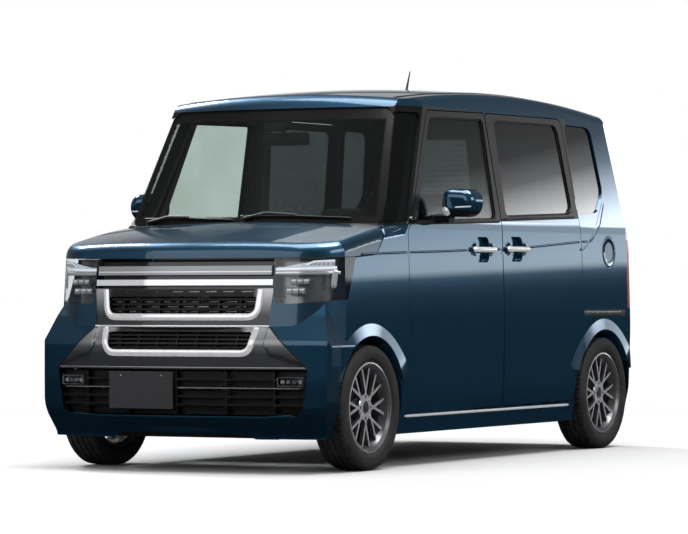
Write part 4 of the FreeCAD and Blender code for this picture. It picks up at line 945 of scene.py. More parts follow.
band("chin_ridge", [(-590, 243), (-440, 231, 60), (440, 231, 60), (590, 243)], FRONT, 42, 5,
     PAINT, section=ROUND, end=60, step=14)
for side, way in SIDES:
    band("lamp_edge_" + side, flip(way, [(704, 900), (700, 812)]), IN_LAMP, 26, 6, REFLECTOR,
         end=4, step=8)
for k, x in enumerate((-278, -68)):
    many("plate_bolt_%d" % k, [lathed([(-0.3, 0), (-0.3, 2.4), (0.2, 3.0), (3.0, 3.0), (3.0, 0)],
                                      (x, -1696.0, 427), "Y", 6)], CHROME)

# ---------------------------------------------------------------- side trim
# the crease through the handles: places along the car and its height there
CREASE = [(-1370, 958), (-1156, 966), (-844, 974), (-542, 980), (-208, 989), (148, 996),
          (540, 1012), (1044, 1040)]


def crease_height(y):
    for (y0, z0), (y1, z1) in zip(CREASE, CREASE[1:]):
        if y <= y1:
            return z0 + (z1 - z0) * (y - y0) / (y1 - y0)
    return CREASE[-1][1]


def ends_of(name):
    """Where a CAD node starts and ends along the car, in mm."""
    low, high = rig.box(name)
    return low[1] / MM, high[1] / MM


lid_low, lid_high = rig.box("fuel_lid")
lid_middle = ((lid_low.y + lid_high.y) / 2 / MM, (lid_low.z + lid_high.z) / 2 / MM)
for side, way in SIDES:
    door, face = "front_door_" + side, SIDE[way]
    for name, body, start, stop, z in (("front", door, -186, 56, 992),
                                       ("rear", "body", 182, 424, 997)):
        tail = "_%s_%s" % (name, side)
        depths = [face(start - 20 + (stop - start + 40) * k / 12, z + 90)[0].x for k in range(13)]
        base = sum(depths) / len(depths)
        hits = [(Vector((base + way * 0.016, p.x * MM, z * MM)), Vector((way, 0, 0)))
                for p in polyline([(start, z), (stop, z)], 8)]
        verts, faces = sweep(hits, 25, 9, ROUND, False, 12, lambda t: 9.0 * (1 - (2 * t - 1) ** 2))
        piece("handle" + tail, verts, faces, CHROME, body)
        base /= MM
        many("handle_posts" + tail, [
            block(1, (base - way * 22, base + way * 20), (y - 13, y + 13), (z - 9, z + 9), 5)
            for y in (start + 20, stop - 20)], PAINT, body)
        for k, y in enumerate((start + 34, stop - 34)):
            dish("cup_lobe%s_%d" % (tail, k), (y, z + 1),
                 [(0, 0.3), (8, 0.5), (16, 1.1), (24, 2.1), (29, 2.9), (31, 2.6), (33, -0.5)],
                 face, SIDE_PAINT, body, 32)
    band("sill_bright_" + side, [(-846, 231), (940, 231)], face, 11, 5, CHROME, end=10, step=25)
    for name, body, belt, pane in (
            ("front", door, [(-742, 1107), (140, 1127)],
             [(-724, 1116, 14), (-467, 1602, 40), (90, 1612, 24), (97, 1141, 24)]),
            ("rear", "body", [(168, 1138), (1010, 1160)],
             [(216, 1154, 34), (216, 1612, 34), (926, 1616, 54), (980, 1179, 54)])):
        band("belt_seal_%s_%s" % (name, side), belt, face, 12, 6, BLACK, body, end=4, step=20)
        band("glass_seal_%s_%s" % (name, side), pane, face, 9, 4, BLACK, body, closed=True)

    # the crease, in one strip per panel
    door_start, door_stop = ends_of(door)
    slide_start, slide_stop = ends_of("sliding_door_" + side)
    for name, body, start, stop in (
            ("fender", "body", -1300, ends_of("front_fender_" + side)[1] - 4),
            ("door", door, door_start + 4, -216), ("door_end", door, 74, door_stop - 4),
            ("slide", "body", slide_start + 4, 160), ("slide_end", "body", 446, slide_stop - 6)):
        path = [start + (stop - start) * k / 6 for k in range(7)]
        band("crease_%s_%s" % (name, side), [(y, crease_height(y)) for y in path], face, 11, 2.6,
             SIDE_PAINT, body, ROUND, end=5, step=20)
    quarter = slide_stop + 4
    band("crease_quarter_" + side, [(quarter, 1041), (1180, 1043, 90), (1300, 1130, 110),
                                    (1380, 1240)], face, 11, 2.6, SIDE_PAINT, section=ROUND, end=5)

    def over_groove(u, v, face=face):
        """Level with the panel on both sides of the CAD groove."""
        above_it, normal = face(u - 9, v + 10)
        below_it, _ = face(u + 9, v - 10)
        return (above_it + below_it) / 2, normal
    band("groove_fill_" + side, [(quarter, 1001), (1134, 1031, 80), (1254, 1123, 90),
                                 (1360, 1236)], over_groove, 16, 0.4, SIDE_PAINT, step=8)

    def beside_slot(u, v, face=face):
        """Over the door's rail slot, level with the panel above it."""
        hit, normal = face(u, v + 22)
        return Vector((hit.x, hit.y, v * MM)), normal
    # a flat black strip over the rail slot: the rail's own black together with the slot's shade, painted on in place
    # of the recess
    band("slide_rail_" + side, [(quarter + 4, 686), (1576, 683)], beside_slot, 31, 0.9,
         LOUVRE_BLACK, step=14)
    band("slide_rail_lip_" + side, [(quarter + 6, 689), (1530, 687)], beside_slot, 9, 2.4,
         FIN_GREY, section=ROUND, end=6, step=14)
    if way * lid_high.x > 0:
        dish("lid_hoop", lid_middle, [(48, -0.6), (49, 0.25), (56, 0.8), (63, 1.5), (69, 2.2),
                                      (73, 2.6), (74.5, 1.6), (74.6, -0.6)],
             caster(surface_of("fuel_lid"), (-way, 0, 0)), SIDE_PAINT, "fuel_lid", 56)

    # the mirror's details, and the pod at the foot of the corner pane
    cap = caster(surface_of("mirror_" + side), (0, 1, 0))
    band("mirror_blinker_" + side, flip(way, [(832, 1181), (912, 1184)]), cap, 7, 3, CHROME, door,
         end=3, step=5)
    band("mirror_split_" + side, flip(way, [(776, 1168), (915, 1168)]), cap, 3, 0.8, GLOSS_BLACK,
         door, step=5)
    many("mirror_face_" + side, [block(way, (784, 886), (-505, -501), (1162, 1246), 1.5)],
         MIRROR_GLASS, door)
    y = cap(way * 786, 1168)[0].y / MM
    many("mirror_eye_" + side, [lathed([(-9, 0), (-9, 9), (-6, 17), (0, 22), (6, 23), (8, 0)],
                                       (way * 786, y + 2, 1166), "Y", 32)], CHROME, door)
    band("sail_pod_" + side, [(-812, 1120), (-752, 1128)], face, 34, 16, GLOSS_BLACK, door, ROUND,
         end=26, step=5)

# ---------------------------------------------------------------- screen, wipers, roof
OVER_GLASS, OVER_BLADE = raised(SCREEN_FACE, 0.008), raised(SCREEN_FACE, 0.013)


def spindle(name, face, u, v, profile, axis, segments, body="body"):
    """A turned cap over a wiper's pivot."""
    spot = [c / MM for c in face(u, v)[0]]
    many(name, [lathed(profile, spot, axis, segments)], BLACK, body)


for k, (pivot, low, high) in enumerate((((-560, 1112), (-590, 1132), (-60, 1120)),
                                        ((-20, 1124), (-40, 1138), (520, 1124)))):
    middle = ((low[0] + high[0]) / 2, (low[1] + high[1]) / 2)
    band("wiper_blade_%d" % k, [low, (middle[0], middle[1] + 5), high], OVER_GLASS, 9, 9, BLACK,
         section=ROUND, end=10, step=14)
    band("wiper_arm_%d" % k, [pivot, (pivot[0] + 120, pivot[1] + 26),
                              (middle[0] + 20, middle[1] + 8)],
         OVER_BLADE, 15, 6, BLACK, section=ROUND, end=20, step=14)
    spindle("wiper_pivot_%d" % k, SCREEN_FACE, *pivot,
            [(-6, 0), (-6, 15), (14, 14), (20, 10), (22, 0)], "Z", 28)

TOP = caster(surface_of("roof_panel"), (0, 0, -1))
for side, way in SIDES:
    band("roof_ditch_" + side, flip(way, [(545, -640), (552, 0), (545, 1440)]), TOP, 10, 3, BLACK,
         end=10, step=30)
many("antenna_foot", [lathed([(-2, 0), (-2, 26), (2, 25), (7, 15), (10, 9), (14, 7.4), (14, 0)],
                             (0, 541, TOP(0, 540)[0].z / MM), "Z", 32)], BLACK)

# ---------------------------------------------------------------- tail
OVER_TAIL = raised(TAIL_FACE, 0.001)
band("tail_handle", [(-168, 978), (168, 978)], OVER_TAIL, 14, 10, PAINT, "tailgate", end=12)
band("stop_lamp", [(-150, 1640), (150, 1640)], TAIL_FACE, 16, 5, TAIL, "tailgate", end=5, step=10)
for side, way in SIDES:
    band("reflector_" + side, flip(way, [(470, 330), (600, 334)]), TAIL_FACE, 24, 4, TAIL,
         end=6, step=8)
    many("tail_cells_" + side, [
        sweep([TAIL_FACE(way * x, z) for x in (652, 668, 684, 700)], 34, 3, FLAT, False, 4)
        for z in range(785, 994, 52)], TAIL)
band("bumper_step", [(-560, 640), (560, 640)], raised(TAIL_FACE, -0.0031), 10, 3, BLACK, end=8,
     step=20)
band("rear_wiper_blade", [(-60, 1160), (300, 1172)], OVER_TAIL, 11, 9, BLACK, "tailgate", ROUND,
     end=12, step=14)
spindle("rear_wiper_pivot", TAIL_FACE, -80, 1145,
        [(-10, 0), (-10, 24), (8, 22), (16, 14), (18, 0)], "Y", 30, "tailgate")

# ---------------------------------------------------------------- wheels
# half a tyre's profile, (across, radius), from the bead outwards and then over the tread,
# where s is the shoulder, g a groove, b a block and c the middle rib
TYRE_HALF = [(-62, 207), (-70, 205.5), (-76, 211), (-79.5, 222), (-80.6, 226), (-80.4, 230),
             (-82.2, 240), (-81.8, 252), (-80.2, 256), (-80.0, 260), (-77.0, 268),
             (-72.5, 274.0), (-67, 277.6)]
TREAD = [(-60, 279.0, "s"), (-48, 279.9, "s"), (-46.5, 273.4, "g"), (-39.5, 273.4, "g"),
         (-38, 280.2, "b"), (-29, 280.5, "b"), (-20, 280.7, "b"), (-18.5, 274.0, "g"),
         (-11.5, 274.0, "g"), (-10, 280.9, "c"), (0, 281.0, "c")]
PITCHES, PER_PITCH = 72, 5
WHEEL_X = 0.6525


def cut_depth(kind, r, k):
    """How deep a profile point is sunk at the k-th step round the tyre."""
    phase = k % PER_PITCH
    if kind == "s" and phase == 0:
        return 5.0
    if kind == "b" and (k + 2) % PER_PITCH == 0:
        return 3.0
    if kind == "c" and (k // PER_PITCH) % 2 == 0 and phase == 2:
        return 1.5
    return 0.7 if kind == "w" and 252 < r < 262 and k % 3 == 0 else 0.0


def tyre_mesh():
    """One tyre about its own centre, with grooves, shoulder sipes and sidewall ribs."""
    left = [(t, r, "w") for t, r in TYRE_HALF] + TREAD
    right = [(-t, r, kind) for t, r, kind in reversed(left[:-1])]
    profile = left + right + [(40, 205, "i"), (-40, 205, "i")]
    count, size = PITCHES * PER_PITCH, len(profile)
    verts, faces = [], []
    for k in range(count):
        a, n = 2 * math.pi * k / count, (k + 1) % count
        for t, r, kind in profile:
            r -= cut_depth(kind, r, k)
            verts.append((t * MM, r * math.cos(a) * MM, r * math.sin(a) * MM))
        for i in range(size):
            j = (i + 1) % size
            faces.append((k * size + i, k * size + j, n * size + j, n * size + i))
    return verts, faces


def on_wheel(axle, radius, degrees):
    """Where a point of a wheel lies along the car and up, in mm."""
    a = math.radians(degrees)
    return axle + radius * math.cos(a), AXLE_Z + radius * math.sin(a)


tyre_verts, tyre_faces = tyre_mesh()
for end, axle in (("front", FRONT_AXLE), ("rear", REAR_AXLE)):
    for side, way in SIDES:
        name = end + "_" + side
        body = "wheel_" + name
        rim = surface_of("rim_" + name)

        def rim_face(y, z):
            return rim.ray_cast(Vector((way * 3, y * MM, z * MM)), Vector((-way, 0, 0)))[0].x / MM

        centre = Vector((way * WHEEL_X, axle * MM, AXLE_Z * MM))
        verts = [centre + Vector((v[0] * way, v[1] * way, v[2])) for v in tyre_verts]
        tyre = piece("tread_" + name, verts, tyre_faces, RUBBER, body, 30)
        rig.replaces(tyre, "tyre_" + name)
        many("nuts_" + name, [
            lathed(flip(way, [(-24, 0), (-24, 10.4), (-4, 10.4), (-0.5, 8.0), (0.5, 0)]),
                   (rim_face(*on_wheel(axle, 36, a)), *on_wheel(axle, 48, a)), "X", 6)
            for a in range(45, 360, 90)], CHROME, body, 20)
        x = rim_face(axle + 30, AXLE_Z)
        cap = flip(way, [(-14, 0), (-14, 27), (0.5, 27), (2.0, 25.5), (2.2, 22), (1.4, 20.5),
                         (2.2, 12), (2.5, 0)])
        many("hub_cap_" + name, [lathed(cap, (x, axle, AXLE_Z))], SATIN, body)
        stem = [(x - way * 14, *on_wheel(axle, 172, 202)), (x + way * 6, *on_wheel(axle, 163, 202))]
        many("valve_" + name, [tube(stem, [3.6, 3.0])], RUBBER, body)
for side, way in SIDES:
    arc = [(-24, 88), (-24, 128), (-18, 136), (18, 136), (24, 128), (24, 88), (14, 84), (-14, 84),
           (-24, 88)]
    many("caliper_" + side, [lathed(arc, (way * 596, FRONT_AXLE, AXLE_Z), "X", 18, -34, 68)],
         IRON, "knuckle_" + side, 50)

# the bumper's lower lip, level across the car: its lower edge is searched for downwards
LIP_TOP, LIP_STOP, LIP_STEP, LIP_LEVEL = 250, 140, 3, 172
bumper = surface_of("front_bumper")
rows = []
for x in range(-470, 471, 20):
    edge, front = LIP_TOP, None
    while edge > LIP_STOP:
        hit = bumper.ray_cast(Vector((x * MM, -3, edge * MM)), Vector((0, 1, 0)))[0]
        if hit is None:
            break
        edge, front = edge - LIP_STEP, hit.y / MM
    low = min(edge, LIP_LEVEL)
    rows += [(x, front + 1, edge + 7), (x, front + 1.5, (edge + low) / 2), (x, front + 5, low),
             (x, front + 22, low), (x, front + 22, edge + 7)]
piece("front_lip", [Vector(p) * MM for p in rows], grid_faces(len(rows) // 5, 5, True), PAINT)

# black valance between the bumper's corners, with a tow eye cover on each side
many("front_valance", [slab((-500, -1566, 150), (500, -1540, 232), 9)] + [
    block(way, (-430, -380), (-1574, -1560), (168, 186), 5) for way in (1, -1)], BLACK)

# ---------------------------------------------------------------- seats
def loose_parts(name):
    """The separate solids of a CAD node, lowest first, as (verts, faces) lots."""
    work = bmesh.new()
    work.from_mesh(nodes[name].data)
    bmesh.ops.remove_doubles(work, verts=work.verts, dist=1e-6)
    work.verts.ensure_lookup_table()
    seen, lots = set(), []
    for first in work.verts:
        if first.index in seen:
            continue
        group, queue = [], [first]
        seen.add(first.index)
        while queue:
            v = queue.pop()
            group.append(v)
            for edge in v.link_edges:
                other = edge.other_vert(v)
                if other.index not in seen:
                    seen.add(other.index)
                    queue.append(other)
        place = {v.index: i for i, v in enumerate(group)}
        faces = sorted({f for v in group for f in v.link_faces}, key=lambda f: f.index)
        lots.append(([v.co.copy() for v in group],
                     [tuple(place[v.index] for v in f.verts) for f in faces]))
    work.free()
    return sorted(lots, key=lambda lot: (round(min(v.z for v in lot[0]), 3),
                                         min(v.x for v in lot[0])))


def apply_modifiers(obj):
    """Works an object's modifiers into its mesh."""
    scene.view_layers[0].update()
    ready = obj.evaluated_get(bpy.context.evaluated_depsgraph_get())
    return bpy.data.meshes.new_from_object(ready)


def take(obj, mesh):
    obj.modifiers.clear()
    obj.data = mesh


PAD_SHRINK, PAD_VOXEL, PAD_CAP, PAD_FILL = 7.0, 0.013, 13.0, 0.85
CLOTH_FRAMES = 20


def start_pad(name, lot):
    """A slightly smaller, evenly meshed copy of a solid, ready to be blown up."""
    verts, faces = lot
    low = Vector([min(v[i] for v in verts) for i in range(3)])
    high = Vector([max(v[i] for v in verts) for i in range(3)])
    centre, size = (low + high) / 2, high - low
    fit = [(size[i] - 2 * PAD_SHRINK * MM) / size[i] for i in range(3)]
    mesh = bpy.data.meshes.new(name)
    mesh.from_pydata([[centre[i] + (v[i] - centre[i]) * fit[i] for i in range(3)] for v in verts],
                     [], faces)
    obj = bpy.data.objects.new(name, mesh)
    scene.collection.objects.link(obj)
    remesh = obj.modifiers.new("remesh", "REMESH")
    remesh.mode = "VOXEL"
    remesh.voxel_size = PAD_VOXEL
    take(obj, apply_modifiers(obj))
    return obj


def blow_up(pads):
    """Inflates all the pads together as closed cloth, then limits how far a point has moved."""
    rest = [[v.co.copy() for v in obj.data.vertices] for obj in pads]
    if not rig.quick():
        for obj in pads:
            cloth = obj.modifiers.new("cloth", "CLOTH").settings
            cloth.quality = 5
            cloth.use_pressure = True
            cloth.uniform_pressure_force = 4
            cloth.tension_stiffness = cloth.compression_stiffness = 12
            cloth.bending_stiffness = 0.6
            cloth.effector_weights.gravity = 0
        for step in range(CLOTH_FRAMES):
            scene.frame_set(step + 1)
        for obj, shape in zip(pads, [apply_modifiers(obj) for obj in pads]):
            take(obj, shape)
        scene.frame_set(1)
    for obj, start in zip(pads, rest):
        for v, old in zip(obj.data.vertices, start):
            move = v.co - old
            if move.length > PAD_CAP * MM:
                v.co = old + move.normalized() * PAD_CAP * MM
        smooth = obj.modifiers.new("subdivision", "SUBSURF")
        smooth.levels = smooth.render_levels = 1
        take(obj, apply_modifiers(obj))


def finish_pad(key, node, facing, middle, half, across, channels, inside, depth=7.0, reach=7.0):
    """Sews channels into a pad and covers it in two materials.

    The two long channels run half off each side of the middle, all the way along the side that
    facing picks; channels are (axis, place) across the insert, whose faces pass inside too."""
    obj = pads[key]
    mesh = obj.data
    mesh.update()
    insert = lambda p, n: facing(p, n) and inside(p)
    lines = [(0, middle + k * half, facing) for k in across]
    lines += [(axis, place, insert if within else facing) for axis, place, within in channels]
    normals = [v.normal.copy() for v in mesh.vertices]
    for v, normal in zip(mesh.vertices, normals):
        sink = 0.0
        for axis, place, test in lines:
            if test(v.co, normal):
                off = (v.co[axis] / MM - place) / reach
                sink = max(sink, depth * math.exp(-off * off))
        v.co -= normal * sink * MM
    mesh.materials.clear()
    mesh.materials.append(SEAT_SIDE)
    mesh.materials.append(SEAT_CLOTH)
    for polygon in mesh.polygons:
        polygon.material_index = 1 if insert(polygon.center, polygon.normal) else 0
    mesh.shade_smooth()
    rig.ride(obj, "body")
    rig.slot(obj, "cloth")
    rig.replaces(obj, node)
    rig.padded(obj, PAD_FILL)


def seam(name, key, middle, half, start, stop, direction):
    """Raised stitching along a pad, half off each side of its middle."""
    mesh = pads[key].data
    drop = caster(BVHTree.FromPolygons([v.co for v in mesh.vertices],
                                       [tuple(p.vertices) for p in mesh.polygons]), direction)
    lots = []
    for u in (middle - half, middle + half):
        hits = []
        for p in polyline([(u, start), (u, stop)], 9):
            try:
                hits.append(drop(p.x, p.y))
            except ValueError:                  # past the pad's end
                continue
        for first, last in zip(hits, hits[1:]):
            lots.append(sweep([(first[0].lerp(last[0], share), normal) for share, normal in
                               ((0.12, first[1]), (0.88, last[1]))], 2.4, 1.6, ROUND))
    many(name, lots, THREAD)


def on_top(p, n):
    return n.z > 0.2


def on_front(p, n):
    return n.y < -0.2


def rods(name, middle, apart, foot, head):
    """A headrest's two rods."""
    many(name, [tube([(middle + k * apart, *foot), (middle + k * apart, *head)], 6)
                for k in (-1, 1)], CHROME)


pads = {}
for side, _ in SIDES:
    for key, lot in zip(("cushion", "back", "headrest"), loose_parts("front_seat_" + side)):
        key = "front_%s_%s" % (key, side)
        pads[key] = start_pad(key, lot)
for key, lot in zip(("cushion", "back", "headrest_right", "headrest_left"),
                    loose_parts("rear_seat")):
    pads["rear_" + key] = start_pad("rear_" + key, lot)
blow_up(list(pads.values()))

PAIR = (-1, 1)
FRONT_SEAT_X, REAR_SEAT_X = 300, 270
for side, way in SIDES:
    node, mid = "front_seat_" + side, way * FRONT_SEAT_X
    finish_pad("front_cushion_" + side, node, on_top, mid, 150, PAIR,
               [(1, -60, True), (1, 60, True), (1, 170, True)],
               lambda p: abs(p.x / MM - mid) < 156)
    seam("stitch_cushion_" + side, "front_cushion_" + side, mid, 158, -170, 250, (0, 0, -1))
    finish_pad("front_back_" + side, node, on_front, mid, 140, PAIR,
               [(2, 640, True), (2, 760, True), (2, 880, True), (2, 990, False)],
               lambda p: abs(p.x / MM - mid) < 146 and p.z < 0.99)
    seam("stitch_back_" + side, "front_back_" + side, mid, 148, 560, 985, (0, 1, 0))
    finish_pad("front_headrest_" + side, node, on_front, mid, 92, PAIR, [],
               lambda p: abs(p.x / MM - mid) < 96, 4.0)
    rods("headrest_rods_" + side, mid, 62, (462, 1028), (468, 1075))
    rails = [slab((mid + k * 165 - 18, -120, 292), (mid + k * 165 + 18, 320, 316), 4)
             for k in PAIR]
    rails.append(slab((mid - 215, -110, 316), (mid + 215, 250, 340), 8))
    many("seat_rails_" + side, rails, STEEL)
    many("seat_side_trim_" + side, [block(way, (518, 562), (150, 330), (380, 470), 14)], INTERIOR)

finish_pad("rear_cushion", "rear_seat", on_top, 0, 445, (0, 1, -1),
           [(1, 880, True), (1, 1000, True)], lambda p: 0.05 < abs(p.x) < 0.44)
finish_pad("rear_back", "rear_seat", on_front, 0, 445, (0, 1, -1),
           [(2, 720, True), (2, 840, True), (2, 960, True), (2, 1075, False)],
           lambda p: 0.05 < abs(p.x) < 0.44 and p.z < 1.07)
for side, way in SIDES:
    mid = way * REAR_SEAT_X
    finish_pad("rear_headrest_" + side, "rear_seat", on_front, mid, 82, PAIR, [],
               lambda p: abs(p.x / MM - mid) < 86, 4.0)
    rods("rear_headrest_rods_" + side, mid, 60, (1352, 1118), (1358, 1165))

# ---------------------------------------------------------------- cabin
lining = caster(surface_of("roof_panel"), (0, 0, 1))
for side, way in SIDES:
    x = way * 280
    z = lining(x, -520)[0].z / MM
    many("sun_visor_" + side, [slab((x - 185, -610, z - 34), (x + 185, -450, z - 18), 7,
                                    (-4, 0, 0))], INTERIOR_LIGHT)
z = 1590
y = caster(surface_of("windscreen"), (0, -1, 0))(0, z)[0].y / MM
many("camera_pod", [slab((-58, y + 10, z - 42), (58, y + 92, z + 24), 12, (18, 0, 0), taper=0.8),
                    tube([(0, y + 60, z - 20), (0, y + 105, z - 70)], 8)], BLACK, slot="plastic")
many("inside_mirror", [slab((-122, y + 104, z - 112), (122, y + 128, z - 52), 11, (10, 0, 0))],
     BLACK, slot="plastic")
many("inside_mirror_glass", [slab((-112, y + 126, z - 106), (112, y + 130, z - 58), 2,
                                  (10, 0, 0))], MIRROR_GLASS)

for name, low, high, bevel, turn, taper, finish in (
        ("instrument_hood", (-492, -775, 1062), (-168, -628, 1112), 16, 0, 0.92, INTERIOR),
        ("instrument_display", (-462, -634, 1074), (-198, -622, 1104), 3, 0, 1.0, SCREEN_OFF),
        ("centre_display", (-128, -612, 962), (128, -592, 1096), 6, 8, 1.0, SCREEN_OFF),
        ("centre_display_rim", (-134, -614, 956), (134, -598, 1102), 7, 8, 1.0, INTERIOR)):
    many(name, [slab(low, high, bevel, (turn, 0, 0), taper=taper)], finish)
vents = []
for x in (-600, -165, 165, 600):
    vents += [slab((x - 40, -556, z), (x + 40, -544, z + 4), 1.5, (20, 0, 0))
              for z in range(958, 1011, 13)]
    vents += [slab((edge, -553, 950), (edge + 6, -541, 1020), 2) for edge in (x - 46, x + 40)]
many("dash_vents", vents, GLOSS_BLACK, slot="plastic")
many("glove_box", [slab((190, -552, 760), (610, -536, 900), 8),
                   slab((370, -540, 872), (430, -530, 888), 3)], INTERIOR)
many("dash_ledge", [block(way, (160, 640), (-566, -538), (905, 925), 6) for way in PAIR],
     TRIM_GREY)
many("climate_controls", [lathed([(-8, 0), (-8, 20), (10, 18), (13, 15), (13, 0)], (x, -541, 850),
                                 "Y", 32) for x in (-70, 0, 70)], SATIN, slot="plastic")
many("gear_lever", [
    tube(smooth_path([(-118, -545, 880), (-118, -520, 905), (-118, -492, 925)], 4), 8),
    lathed([(-26, 0), (-24, 14), (-10, 19), (10, 20), (22, 15), (26, 0)], (-118, -484, 934), "Z",
           24)], INTERIOR)

# the steering wheel's pad and buttons, about the wheel's centre and square to its column
WHEEL_AT = (-330, -478, 955)
WHEEL_TILT = math.degrees(math.atan2(0.475, 0.88))


def on_steering(x, width, ahead, behind, height, bevel):
    cx, cy, cz = WHEEL_AT
    low = (cx + x - width, cy - ahead, cz - height)
    high = (cx + x + width, cy + behind, cz + height)
    return slab(low, high, bevel, (WHEEL_TILT, 0, 0))


many("wheel_pad", [on_steering(0, 66, 4, 30, 46, 14)], INTERIOR, "steering_wheel")
many("wheel_buttons", [on_steering(k * 104, 18, 2, 20, 16, 5) for k in PAIR], GLOSS_BLACK,
     "steering_wheel", slot="plastic")
many("pedals", [slab((-400, -742, 352), (-340, -726, 412), 5, (-25, 0, 0)),
                slab((-280, -742, 330), (-238, -726, 430), 5, (-25, 0, 0)),
                tube([(-370, -734, 380), (-370, -770, 560)], 7),
                tube([(-259, -734, 380), (-259, -770, 560)], 6)], STEEL)

for side, way in SIDES:
    door = "front_door_" + side
    for name, body, boxes, finish in (
            ("door_armrest_", door, [((604, 668), (-440, 30), (700, 742), 14),
                                     ((628, 668), (-440, 40), (742, 770), 8)], INTERIOR),
            ("door_pocket_", door, [((622, 668), (-430, 30), (400, 520), 12)], INTERIOR),
            ("door_pull_", door, [((622, 640), (-330, -240), (840, 858), 6)], CHROME),
            ("rear_armrest_", "body", [((618, 668), (420, 860), (720, 752), 12)], INTERIOR),
            ("belt_guide_", "body", [((618, 646), (164, 232), (1262, 1330), 8)], INTERIOR)):
        many(name + side, [block(way, *box) for box in boxes], finish, body)
    many("door_speaker_" + side, [lathed(flip(way, [(-4, 84), (3, 86), (6, 80), (2, 0)]),
                                         (way * 650, -560, 520))], BLACK, door, slot="plastic")
    strap = smooth_path([(628, 196, 1290), (632, 210, 1120), (634, 226, 860), (630, 240, 560),
                         (622, 250, 380)], 8)
    many("seat_belt_" + side, [sweep([(Vector((way * x * MM, y * MM, z * MM)), Vector((-way, 0, 0)))
                                      for x, y, z in strap], 46, 1.8, FLAT)], THREAD)
many("rear_shelf_trim", [slab((-560, 1400, 560), (560, 1424, 1090), 6)], SEAT_SIDE)

# ---------------------------------------------------------------- floor, light and camera
FLOOR_RADIUS, FLOOR_SIDES = 600, 64
FLOOR_NEAR, FLOOR_FAR = 5.0, 10.0       # between them the grey floor turns into white light


def floor_finish():
    """A pale studio floor, barely mottled, that fades to white far from the car."""
    f = Finish("studio_floor", 0.85)
    f.varied(f.noise(0.8, 4.0), 0.82, 0.9)
    away = f.node("VectorMath", {0: f.place}, operation="LENGTH").outputs["Value"]
    far = f.span(away, FLOOR_NEAR, FLOOR_FAR)
    f.set("Base Color", f.mix(far, (0.56, 0.56, 0.56), (0.0, 0.0, 0.0)))
    f.set("Emission Color", f.mix(far, (0.0, 0.0, 0.0), (1.0, 1.0, 1.0)))
    return f.set("Emission Strength", 1.0).m


floor_mesh = bpy.data.meshes.new("studio_floor")
turns = [2 * math.pi * k / FLOOR_SIDES for k in range(FLOOR_SIDES)]
floor_mesh.from_pydata([(FLOOR_RADIUS * math.cos(a), FLOOR_RADIUS * math.sin(a), 0) for a in turns],
                       [], [tuple(range(FLOOR_SIDES))])
floor = bpy.data.objects.new("studio_floor", floor_mesh)
floor_mesh.materials.append(floor_finish())
floor.visible_glossy = False
scene.collection.objects.link(floor)
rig.stage(floor)

studio = bpy.data.worlds.new("studio")
scene.world = studio
studio.use_nodes = True
w = Graph(studio.node_tree)
split = w.node("SeparateXYZ", {0: w.node("TexCoord").outputs["Generated"]}).outputs
bearing = w.math("ARCTAN2", split[0], split[1])


def sky(*stops):
    """Brightness against height: stops are (0 straight down to 1 straight up, brightness)."""
    return w.ramp(w.span(split[2], -1, 1), [(at, (v, v, v * 1.01)) for at, v in stops])


# behind the car and on its flank a bright wall stands below a dark band and a grey ceiling;
# to the front it is dimmer
CEILING = ((0.86, 0.08), (0.875, 0.24), (0.90, 0.18), (0.94, 0.1), (1.0, 0.25))
behind = sky((0.0, 0.8), (0.552, 0.7), (0.571, 0.4), (0.5755, 0.2), (0.586, 0.12), (0.592, 0.5),
             (0.64, 0.35), (0.672, 0.14), (0.70, 0.08), *CEILING)
flank = sky((0.0, 0.95), (0.552, 1.0), (0.557, 4.4), (0.5675, 4.0), (0.571, 1.4), (0.5755, 0.2),
            (0.586, 0.12), (0.70, 0.08), *CEILING)
front = sky((0.0, 0.16), (0.56, 0.16), (0.62, 0.10), (0.72, 0.07), *CEILING)
rear_wall = w.math("MULTIPLY", w.span(bearing, -0.80, -0.68), w.span(bearing, 0.62, 0.52))
wall = w.mix(rear_wall, front, w.mix(w.span(bearing, -0.05, 0.05), behind, flank))
ground = w.mix(w.span(split[2], -0.075, -0.045), (0.008, 0.008, 0.008), (0.012, 0.012, 0.012))
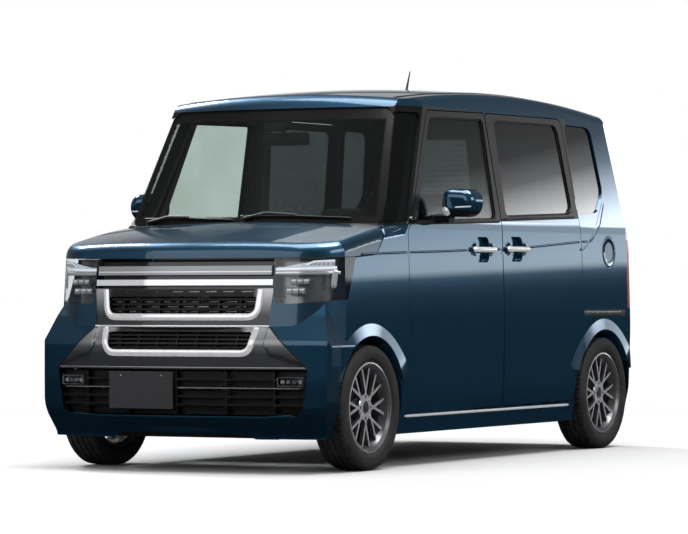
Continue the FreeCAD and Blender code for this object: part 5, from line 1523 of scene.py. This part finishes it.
low_glow = w.mix(w.span(split[2], 0.0305, 0.046), (1.6, 1.75, 1.8), (0.95, 1.05, 1.1))
near_wall = w.mix(w.span(split[2], 0.06, 0.10), low_glow, wall)
mirrored = w.mix(w.span(split[2], 0.0285, 0.0305), ground, w.mix(rear_wall, wall, near_wall))
ray = w.node("LightPath").outputs
lighting = w.mix(ray["Is Diffuse Ray"], mirrored, (0.55, 0.55, 0.56))
background = studio.node_tree.nodes["Background"].inputs
w.put(background["Color"], w.mix(ray["Is Camera Ray"], lighting, (1.0, 1.0, 1.0)))
background["Strength"].default_value = 1.0


def lamp(name, kind, power, travel, place=(0, 0, 0)):
    """A light whose rays travel in a direction."""
    light = bpy.data.lights.new(name, kind)
    light.energy = power
    obj = bpy.data.objects.new(name, light)
    obj.location = place
    obj.rotation_euler = Vector(travel).to_track_quat("-Z", "Y").to_euler()
    scene.collection.objects.link(obj)
    return light


for name, place, width, height, power, target in (
        ("top_light", (0.5, -0.5, 7.5), 6.5, 5.0, 520, (0, 0, 0.5)),
        ("front_light", (-2.5, -9.0, 4.2), 9.0, 5.0, 150, (0, -1.2, 0.8)),
        ("side_light", (9.0, -1.0, 4.5), 6.0, 3.0, 200, (0.5, 0.2, 0.8))):
    light = lamp(name, "AREA", power, Vector(target) - Vector(place), place)
    light.shape = "RECTANGLE"
    light.size, light.size_y = width, height
lamp("sky_light", "SUN", 1.4, (-0.273, -0.139, -0.952)).angle = math.radians(25)
lamp("far_light", "SUN", 2.0, (0.66, -0.36, -0.66)).angle = math.radians(12)

camera = bpy.data.cameras.new("camera")
camera.sensor_width = 36
camera.lens = 190.05
camera.clip_end = 200
eye = bpy.data.objects.new("camera", camera)
eye.location = (8.261, -15.487, 0.813)
eye.rotation_euler = [math.radians(angle) for angle in (90.330, 0.148, 28.243)]
scene.collection.objects.link(eye)
scene.camera = eye
scene.view_settings.view_transform = "Standard"

visual_box = [list(c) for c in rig.bounds()]
with open("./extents.json", "w") as out:
    json.dump({"cad": cad_box, "visual": visual_box}, out)
